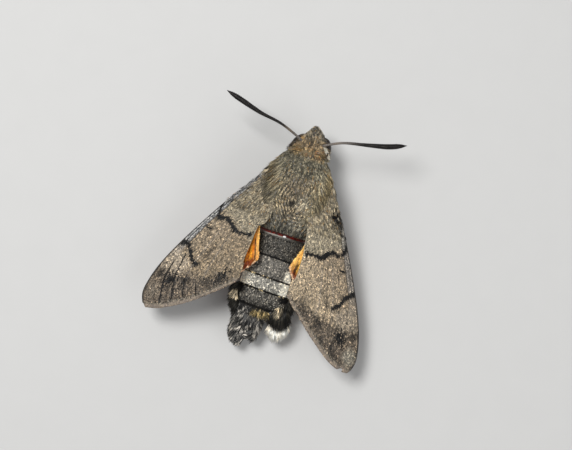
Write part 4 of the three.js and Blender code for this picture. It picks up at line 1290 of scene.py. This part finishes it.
def makeWings():
    underFinish = finish("forewing underside", coatPaint(forewingUnder, 3.0))
    for side, seed in (("left", 51), ("right", 61)):
        fore, hind = forewingColour(side), hindwingColour(side)
        for kind, wing, colour in (("forewing", forewing, fore), ("hindwing", hindwing, hind)):
            membrane = finish(kind + " membrane " + side, membranePaint(colour))
            makeMembrane(kind + side.title(), wing[side], side, membrane, kind, kind + "_" + side)
        scales = finish("forewing scales " + side, coatPaint(fore, 15.0, rough=0.62))
        hair = finish("forewing hair " + side, coatPaint(fore, 9.0, rough=0.7, specks=0.03))
        hindScales = finish("hindwing scales " + side, coatPaint(hind, 1.8, rough=0.6, root=0.9, grit=3.0))
        for kind, material in (("forewingScales", scales), ("forewingHair", hair), ("forewingFringe", scales),
                               ("forewingUnderScales", underFinish)):
            seed += 1
            growScales(kind, forewing[side], side, material, "forewing", seed)
        for kind in ("hindwingScales", "hindwingUnderScales", "hindwingFringe"):
            seed += 1
            growScales(kind, hindwing[side], side, hindScales, "hindwing", seed)
        print("wings", side)


makeWings()


# Legs

legs = {
    "fore": [(1.0, -6.8, 3.6), (1.8, -8.5, 2.6), (1.4, -9.9, 1.15), (0.85, -11.4, 0.15)],
    "mid": [(1.2, -4.8, 3.2), (3.45, -4.9, 2.4), (4.35, -3.2, 1.05), (5.1, -0.8, 0.15)],
    "hind": [(1.3, -2.6, 3.2), (3.4, -1.3, 2.3), (4.9, 1.2, 1.1), (6.4, 4.2, 0.15)],
}
legScales = {"count": 1400, "length": (0.18, 0.34), "width": (0.05, 0.09), "lift": 0.16}


def legPaint(wire, place):
    rings = wire.grain(place, 0.25, 2.0)
    tone = wire.mix(rings.above(0.4, 0.65), (0.12, 0.1, 0.08), (0.34, 0.31, 0.26))
    return {"Base Color": tone, "Roughness": 0.7 - rings * 0.1, "bump": (wire.cells(place, 0.08), 0.02, 0.7)}


def legColour(wire, place):
    rings = wire.grain(place, 0.5, 2.0)
    return wire.mix(rings.above(0.4, 0.62), (0.2, 0.17, 0.135), (0.46, 0.43, 0.37))


def legRod(start, middle, end, shares, radii):
    line = smoothLine([start, middle, end], 13)
    return tube(line, np.interp(np.linspace(0, 1, 13), shares, radii), 16)


def legParts(hip, knee, ankle, toe):
    sole = ankle + (toe - ankle) * 0.55
    sole[2] = toe[2] + 0.05
    parts = [
        legRod(hip, (hip + knee) / 2 + (0, 0, 0.06), knee, [0, 0.3, 0.8, 1], [0.3, 0.36, 0.27, 0.2]),
        legRod(knee, (knee + ankle) / 2, ankle, [0, 0.15, 0.6, 1], [0.17, 0.24, 0.22, 0.19]),
    ]
    foot = smoothLine([ankle, sole, toe], 41)
    ringed = 0.1 + 0.055 * (np.linspace(0, 5, 41) % 1.0) ** 1.5
    parts.append(tube(foot, ringed * np.linspace(1.15, 0.85, 41), 12))
    heading = unit(toe - sole)
    aside = unit(np.cross(heading, (0, 0, 1)))
    for way in (1, -1):  # claws and spurs
        bend = toe + heading * 0.16 + aside * way * 0.12 + (0, 0, 0.05)
        claw = smoothLine([toe, bend, bend + heading * 0.1 - (0, 0, 0.12)], 9)
        parts.append(tube(claw, np.linspace(0.05, 0.012, 9), 8))
        spur = ankle + unit(ankle - knee) * 0.5 + aside * way * 0.2 - (0, 0, 0.02)
        spur = smoothLine([ankle - (0, 0, 0.05), spur], 9)
        parts.append(tube(spur, np.linspace(0.07, 0.015, 9), 8))
    return parts


def makeLegs():
    skinTone = finish("leg horn", legPaint)
    coat = finish("leg scales", coatPaint(legColour))
    for side, label in ((1, "Left"), (-1, "Right")):
        for pair, joints in legs.items():
            hip, knee, ankle, toe = np.array(joints, float) * (side, 1, 1)
            piece = joined(legParts(hip, knee, ankle, toe))
            name = "leg" + pair.title() + label
            nodes = [f"leg_{pair}_{label.lower()}_{part}" for part in ("femur", "tibia", "tarsus")]
            handOver(piece, name, skinTone, "leg", *nodes)
            rng = np.random.default_rng(71)
            spots, out = spread(piece, legScales["count"], rng, lambda p, n: p[:, 2] > 0.25)
            onFoot = np.linalg.norm(spots - ankle, axis=1) < np.linalg.norm(toe - ankle) * 0.9
            onThigh = np.linalg.norm(spots - hip, axis=1) < np.linalg.norm(knee - hip)
            run = np.where(onFoot[:, None], toe - ankle, ankle - knee)
            run = np.where(onThigh[:, None], knee - hip, run)
            along = (spots[:, 1] - spots[:, 1].min()) / np.ptp(spots[:, 1]) * 0.9 + 0.05
            place = stacked(np.arctan2(out[:, 0], out[:, 2]) / 6.5 + 0.5, along)
            growShort(name + "Scales", rng, legScales, spots, out, run, place, coat, "leg", scale=True)


makeLegs()
print("legs")


# Tail: side tufts, the fan to the left and the white-tipped lobe to the right

tail = {
    # locks, hairs in each, and the width of a hair
    "fan": {
        "locks": 1500, "times": 5, "length": (0.6, 1.1), "width": (0.035, 0.055), "inset": 0.3,
        "middle": (0.9, 10.6), "whirl": (0.38, 10.88),
        "outline": [(2.6, 8.4), (2.9, 9.3), (2.8, 10.35), (2.78, 11.77), (2.34, 12.6), (1.6, 13.1),
                    (0.88, 13.05), (0.62, 12.3), (0.05, 12.15), (-0.54, 12.3), (-0.87, 11.8),
                    (-0.94, 10.98), (-1.05, 10.1), (-1.05, 9.3), (-0.95, 8.6), (0.8, 8.3)],
        # its middle height and how far it reaches up and down from there, from front to rear
        "y": [8.3, 10.8, 13.1], "height": [2.4, 2.3, 1.95], "up": [0.95, 0.85, 0.4],
        "down": [0.95, 0.85, 0.5],
    },
    "rump": {"locks": 520, "times": 5, "width": (0.045, 0.07)},
    "sides": {"locks": 800, "times": 4, "length": (1.1, 1.7), "width": (0.07, 0.1)},
    "lobe": {"locks": 650, "times": 4, "width": (0.06, 0.1)},
    "tips": {"locks": 340, "times": 6, "width": (0.06, 0.1)},
    "tan": {"locks": 150, "times": 4, "width": (0.04, 0.06)},
}


def fanColour(wire, place):
    x, y, z = place.parts()
    # silver streaks: partly pale hair, partly painted highlight
    silverSheen = x.away(1.3).below(0.5, 1.0) * y.above(11.0, 12.2)
    tone = wire.mix(silverSheen * 0.7, (0.185, 0.178, 0.166), (0.5, 0.48, 0.455))
    tone = wire.mix(x.below(0.2, 0.8) * y.above(11.2, 12.0) * 0.5, tone, (0.09, 0.086, 0.08))
    # painted shade: near-black in the hollow at the middle of the whirl
    hollow = ((x - 0.38) ** 2.0 + (y - 10.88) ** 2.0) ** 0.5
    tone = wire.mix(hollow.below(0.12, 0.3) * z.above(2.0, 2.3) * 0.9, tone, (0.008, 0.008, 0.007))
    ochre = x.away(0.0).below(0.5, 1.2) * y.below(9.3, 9.9) * z.above(2.6, 3.0)
    return wire.mix(ochre * 0.6, tone, colours["ochre"])


def blackColour(wire, place):
    x, y, z = place.parts()
    white = x.above(2.95, 3.1) * y.above(9.2, 9.5) * 0.9
    return wire.mix(white, (0.029, 0.027, 0.022), (0.8, 0.77, 0.7))


def plainColour(colour, size=0.4, share=0.8):
    return lambda wire, place: wire.mix(wire.grain(place, size), colour, dimmed(colour, share))


def growLocks(name, rng, part, roots, out, lie, length, material, place, lift=0.03, curl=0.03, sway=0.0,
              mixed=0.1, skew=1.0):
    # Locks of several hairs, each lock with one shade, bend and length
    n = len(roots)
    more = [np.broadcast_to(v, n) for v in (length, lift, curl, sway)]
    rows = clumps(rng, roots, out, lie, part["times"], 0.03, 0.04, *more, place)
    roots, out, lie, shade, tint, length, lift, curl, sway, place = rows
    m = len(roots)
    shade = np.clip(shade + rng.normal(0, mixed, m), 0, 1) ** skew
    length = length * (0.85 + 0.2 * rng.random(m))
    width = between(rng, part["width"], m)
    lift = lift + rng.normal(0, 0.02, m)
    sway = sway + rng.normal(0, 0.03, m)
    piece = tufts(name, roots, out, lie, length, width, lift, curl=curl, sway=sway, shade=shade,
                  tint=tint, place=place * 0.9 + 0.05, thin=0.5)
    handOver(piece, name, material, "tail_hair")


def fanReach(turn):
    # How far the fan reaches from its middle, for turns about it
    offset = np.array(tail["fan"]["outline"]) - tail["fan"]["middle"]
    at = np.arctan2(offset[:, 1], offset[:, 0])
    order = np.argsort(at)
    return np.interp(turn, at[order], np.linalg.norm(offset, axis=1)[order], period=2 * math.pi)


def makeFanCore():
    part = tail["fan"]
    deselect()
    bpy.ops.mesh.primitive_uv_sphere_add(segments=64, ring_count=28, radius=1)
    piece = bpy.context.object
    a, b, c = vertexRows(piece).T
    turn = np.arctan2(b, a)
    reach = np.hypot(a, b) ** 0.8 * (fanReach(turn) - part["inset"])
    x = part["middle"][0] + reach * np.cos(turn)
    y = part["middle"][1] + reach * np.sin(turn)
    middle, up, down = [np.interp(y, part["y"], part[name]) for name in ("height", "up", "down")]
    z = middle + c * np.where(c > 0, up, down)
    dent = np.exp(-((x - part["whirl"][0]) ** 2 + (y - part["whirl"][1]) ** 2) / 0.08)
    z = z - 0.45 * dent * (c > 0)
    moveTo(piece, stacked(x, y, z))

    # painted shade: the core is near-black, partly the dark hair within, partly the shade in the gaps between
    # the locks
    def paint(wire, place):
        strands = wire.grain(place, 0.12, 2.0, stretch=(1, 0.3, 1))
        tone = wire.mix(strands, (0.006, 0.006, 0.005), (0.05, 0.048, 0.044))
        return {"Base Color": tone, "Roughness": 0.8 - strands * 0.2, "bump": (strands, 0.04, 0.8)}
    return handOver(piece, "tailCore", finish("tail core", paint), "tail_hair", "tail_fan")


def growFan():
    coat = finish("tail hair", coatPaint(fanColour, 80.0, rough=0.45, root=0.35, grit=6.0))
    part = tail["fan"]
    rng = np.random.default_rng(81)
    core = makeFanCore()
    spots, normal = spread(core, part["locks"], rng, lambda p, n: np.where(n[:, 2] > 0, 1.0, 0.55))
    x, y, z = spots.T
    dx, dy = x - part["whirl"][0], y - part["whirl"][1]
    away = np.hypot(dx, dy) + 0.01
    # to the rear, but round the hollow on its right and behind it
    whirl = np.clip(0.5 + 0.8 * (0.8 * dy - 0.6 * dx) / away, 0, 1)
    whirl = whirl * np.interp(away, [0, 1.1, 1.6], [1, 0.9, 0.1]) * np.interp(x, [0.7, 1.2], [1, 0])
    straight = stacked(0.1 * dx, 1.0)
    around = stacked(dy, -dx) / away[:, None]
    way = straight * (1 - whirl)[:, None] + around * whirl[:, None]
    way = way + 0.16 * stacked(dx, dy) / away[:, None] + rng.normal(0, 0.1, (len(x), 2))
    lie = unit(stacked(*way.T, -0.08))
    length = between(rng, part["length"], len(x)) * np.where(dy > 0.9, 1.35, 1.0)
    length = length * np.clip(away + 0.2, 0.4, 1)
    for repeat in range(4):  # shorter, until it ends inside the outline
        end = spots + lie * length[:, None] - (*part["middle"], 0)
        past = np.hypot(end[:, 0], end[:, 1]) / fanReach(np.arctan2(end[:, 1], end[:, 0]))
        length = np.where(past > 1.0 + 0.04 * rng.random(len(x)), length * 0.78, length)
    out = normal * (0.6, 0.25, 1) + stacked(0.0, 0.0, 0.25 * np.sign(normal[:, 2]))
    out = unit(out) + rng.normal(0, 0.12, (len(x), 3))
    ray = stacked(dx, dy, 0.0) / away[:, None]
    swing = np.sign((np.cross(lie, out) * ray).sum(1))
    place = np.clip(stacked(np.arctan2(dx, dy) / 6.4 + 0.5, 0.5 - (z - 2.2) / 2.4), 0, 1)
    growLocks("tailFan", rng, part, spots, out, lie, length, coat, place, mixed=0.13, skew=1.3, curl=0.1,
              lift=rng.normal(0.14, 0.08, len(x)), sway=-swing * whirl * length / (2 * away + 0.3))

    # over the end of the abdomen, down on to the fan
    part = tail["rump"]
    rng = np.random.default_rng(83)
    spots, out = spread(skin, part["locks"], rng, grows({"y": (8.2, 10.2), "up": (0, 2)}))
    n = len(spots)
    right = spots[:, 0] < 0.8
    length = np.where(right, between(rng, (0.4, 0.8), n), between(rng, (0.6, 1.2), n))
    lie = stacked(rng.normal(0.1, 0.3, n), 1.0, -0.2)
    growLocks("rumpHair", rng, part, spots, out, lie, length, coat, unwrapped(spots), curl=0.06,
              lift=rng.normal(0.12, 0.06, n), sway=rng.normal(0, 0.15, n))


def growSides(black):
    for name, side in (("sideTuftsLeft", 1), ("sideTuftsRight", -1)):
        part = tail["sides"]
        rng = np.random.default_rng(84 + side)
        n = part["locks"]
        share, level = rng.random((2, n))
        first = 6.0 if side > 0 else 3.8
        along = first + (8.4 - first) * share
        roots = stacked(side * (2.75 - 0.3 * share), along, 1.9 + 2.0 * level - 0.4 * share)
        length = between(rng, part["length"], n)
        bulge = ([5.5, 6.2, 7.2, 8.4, 9.0, 9.7], [0.7, 1.1, 1.4, 1.25, 0.9, 0.45])
        reach = np.interp(roots[:, 1] + 1.2, *bulge)
        lift = reach * (0.25 + 0.75 * rng.random(n) ** 0.6) / length
        lie = stacked(0.0, 1.0, rng.normal(-0.05, 0.08, n))
        out = stacked(side, 0.0, 0.4 * (level - 0.4) + rng.normal(0, 0.12, n))
        growLocks(name, rng, part, roots, out, lie, length, black, stacked(share, level),
                  lift=lift * 1.35, curl=lift * 0.35, sway=rng.normal(0, 0.04, n))


def growLobe(black):
    pale = coatPaint(plainColour((1.0, 0.95, 0.84)), 1.8, rough=0.6, root=0.95, grit=3.0)
    white = finish("white hair", pale)
    for name, key, seed, tone in (("lobe", "lobe", 88, black), ("whiteTips", "tips", 89, white)):
        part = tail[key]
        rng = np.random.default_rng(seed)
        n = part["locks"]
        share, level = rng.random((2, n))
        roots = stacked(-1.6 - 1.3 * share, 7.3 + 0.6 * rng.random(n), 2.1 + 1.6 * level)
        jag = 0.12 * np.sin(share * 38)
        ends = stacked(np.interp(share, [0, 0.4, 0.7, 1], [-1.5, -2.55, -3.25, -3.95]),
                       jag + np.interp(share, [0, 0.35, 0.6, 0.85, 1], [10.85, 11.5, 11.4, 10.8, 10.0]),
                       1.5 + 0.75 * level)
        way = ends - roots
        reach = np.linalg.norm(way, axis=1)
        if key == "tips":
            start = 0.6 + 0.1 * rng.random(n)
            roots = roots + way * start[:, None] + (0, 0, 0.08)
            reach = reach * (1 - start) * (0.55 + 0.5 * rng.random(n) ** 0.7)
        else:
            reach = reach * 0.68 * (0.75 + 0.3 * rng.random(n))
        out = stacked(rng.normal(-0.2, 0.5, n), 0.0, 1.0)
        growLocks(name, rng, part, roots, out, way + rng.normal(0, 0.12, (n, 3)), reach, tone,
                  stacked(share, level), sway=rng.normal(0, 0.06, n))


# Tan tufts at both sides of the fourth band, and an ochre one where the fan begins: the finish with its
# colour, contrast, root and grit, share of the locks, place and half sizes, heading, and how it fans out
smallTufts = {
    # painted light: the left tan tuft is paler than the right one, to stand against the shade it lies in
    "tanTuftLeft": {
        "finish": "tan hair", "colour": colours["tan"], "looks": (20.0, 0.6, 12.0), "share": 0.9,
        "at": (3.18, 7.5, 4.15), "size": (0.3, 0.32, 0.1), "heading": (0.15, 1, -0.1), "out": (0.3, 0, 1),
        "fanned": 0.5, "length": (0.35, 0.6)},
    "tanTuftRight": {
        "finish": "tan hair right", "colour": (0.5, 0.425, 0.3), "looks": (20.0, 0.6, 12.0), "share": 0.55,
        "at": (-2.05, 7.9, 4.1), "size": (0.28, 0.4, 0.1), "heading": (0.1, 1, -0.3),
        "out": (-0.3, 0.3, 1), "fanned": 0.45, "length": (0.5, 1.0)},
    "ochreTuft": {
        "finish": "ochre hair", "colour": colours["ochre"], "looks": (22.0, 0.5, 6.0), "share": 1.0,
        "at": (-0.15, 8.52, 3.75), "size": (0.8, 0.22, 0.12), "heading": (-0.1, 1, -0.4),
        "out": (0, 0.3, 1), "fanned": 0.5, "length": (0.5, 0.9)},
}


def growSmallTufts():
    for name, tuft in smallTufts.items():
        contrast, root, grit = tuft["looks"]
        paint = coatPaint(plainColour(tuft["colour"]), contrast, rough=0.6, root=root, grit=grit)
        rng = np.random.default_rng(91)
        n = int(tail["tan"]["locks"] * tuft["share"])
        offset = rng.uniform(-1, 1, (n, 3))
        roots = np.array(tuft["at"]) + offset * tuft["size"]
        lie = np.array(tuft["heading"]) + rng.normal(0, 0.15, (n, 3)) + offset * (tuft["fanned"], 0, 0)
        out = np.array(tuft["out"]) + rng.normal(0, 0.2, (n, 3))
        length = between(rng, tuft["length"], n)
        growLocks(name, rng, tail["tan"], roots, out, lie, length, finish(tuft["finish"], paint),
                  offset[:, :2] * 0.5 + 0.5, lift=rng.normal(0.2, 0.08, n), curl=0.15,
                  sway=rng.normal(0, 0.2, n))


def growTail():
    growFan()
    black = finish("black hair", coatPaint(blackColour, 12.0, rough=0.45, grit=8.0))
    growSides(black)
    growLobe(black)
    growSmallTufts()


growTail()
print("tail")


# Floor and light

studio = {"floor": (0.42, 0.417, 0.408), "sky": (0.97, 0.98, 1.0), "skyStrength": 0.5,
          "key": ((92, -50, 240), 85, 0.78), "fill": ((-160, 60, 160), 160, 0.15)}


def makeStudio():
    deselect()
    bpy.ops.mesh.primitive_plane_add(size=1.2, location=(0, 0, 0))
    floor = bpy.context.object
    floor.name = "floor"
    colour = plainColour(studio["floor"], 3.0, 0.97)
    paper = finish("floor paper", lambda wire, place: {"Base Color": colour(wire, place), "Roughness": 0.9})
    floor.data.materials.append(paper)
    sky = bpy.data.worlds.new("sky")
    bpy.context.scene.world = sky
    sky.use_nodes = True
    sky.node_tree.nodes["Background"].inputs[0].default_value = (*studio["sky"], 1)
    sky.node_tree.nodes["Background"].inputs[1].default_value = studio["skyStrength"]
    for name in ("key", "fill"):
        at, size, power = studio[name]
        bpy.ops.object.light_add(type="AREA", location=np.array(at) * mm)
        light = bpy.context.object
        light.name = name + "Light"
        light.data.size = size * mm
        light.data.energy = power
        light.rotation_mode = "QUATERNION"
        light.rotation_quaternion = light.location.to_track_quat("Z", "Y")
    bpy.context.scene.view_settings.view_transform = "Standard"


makeStudio()
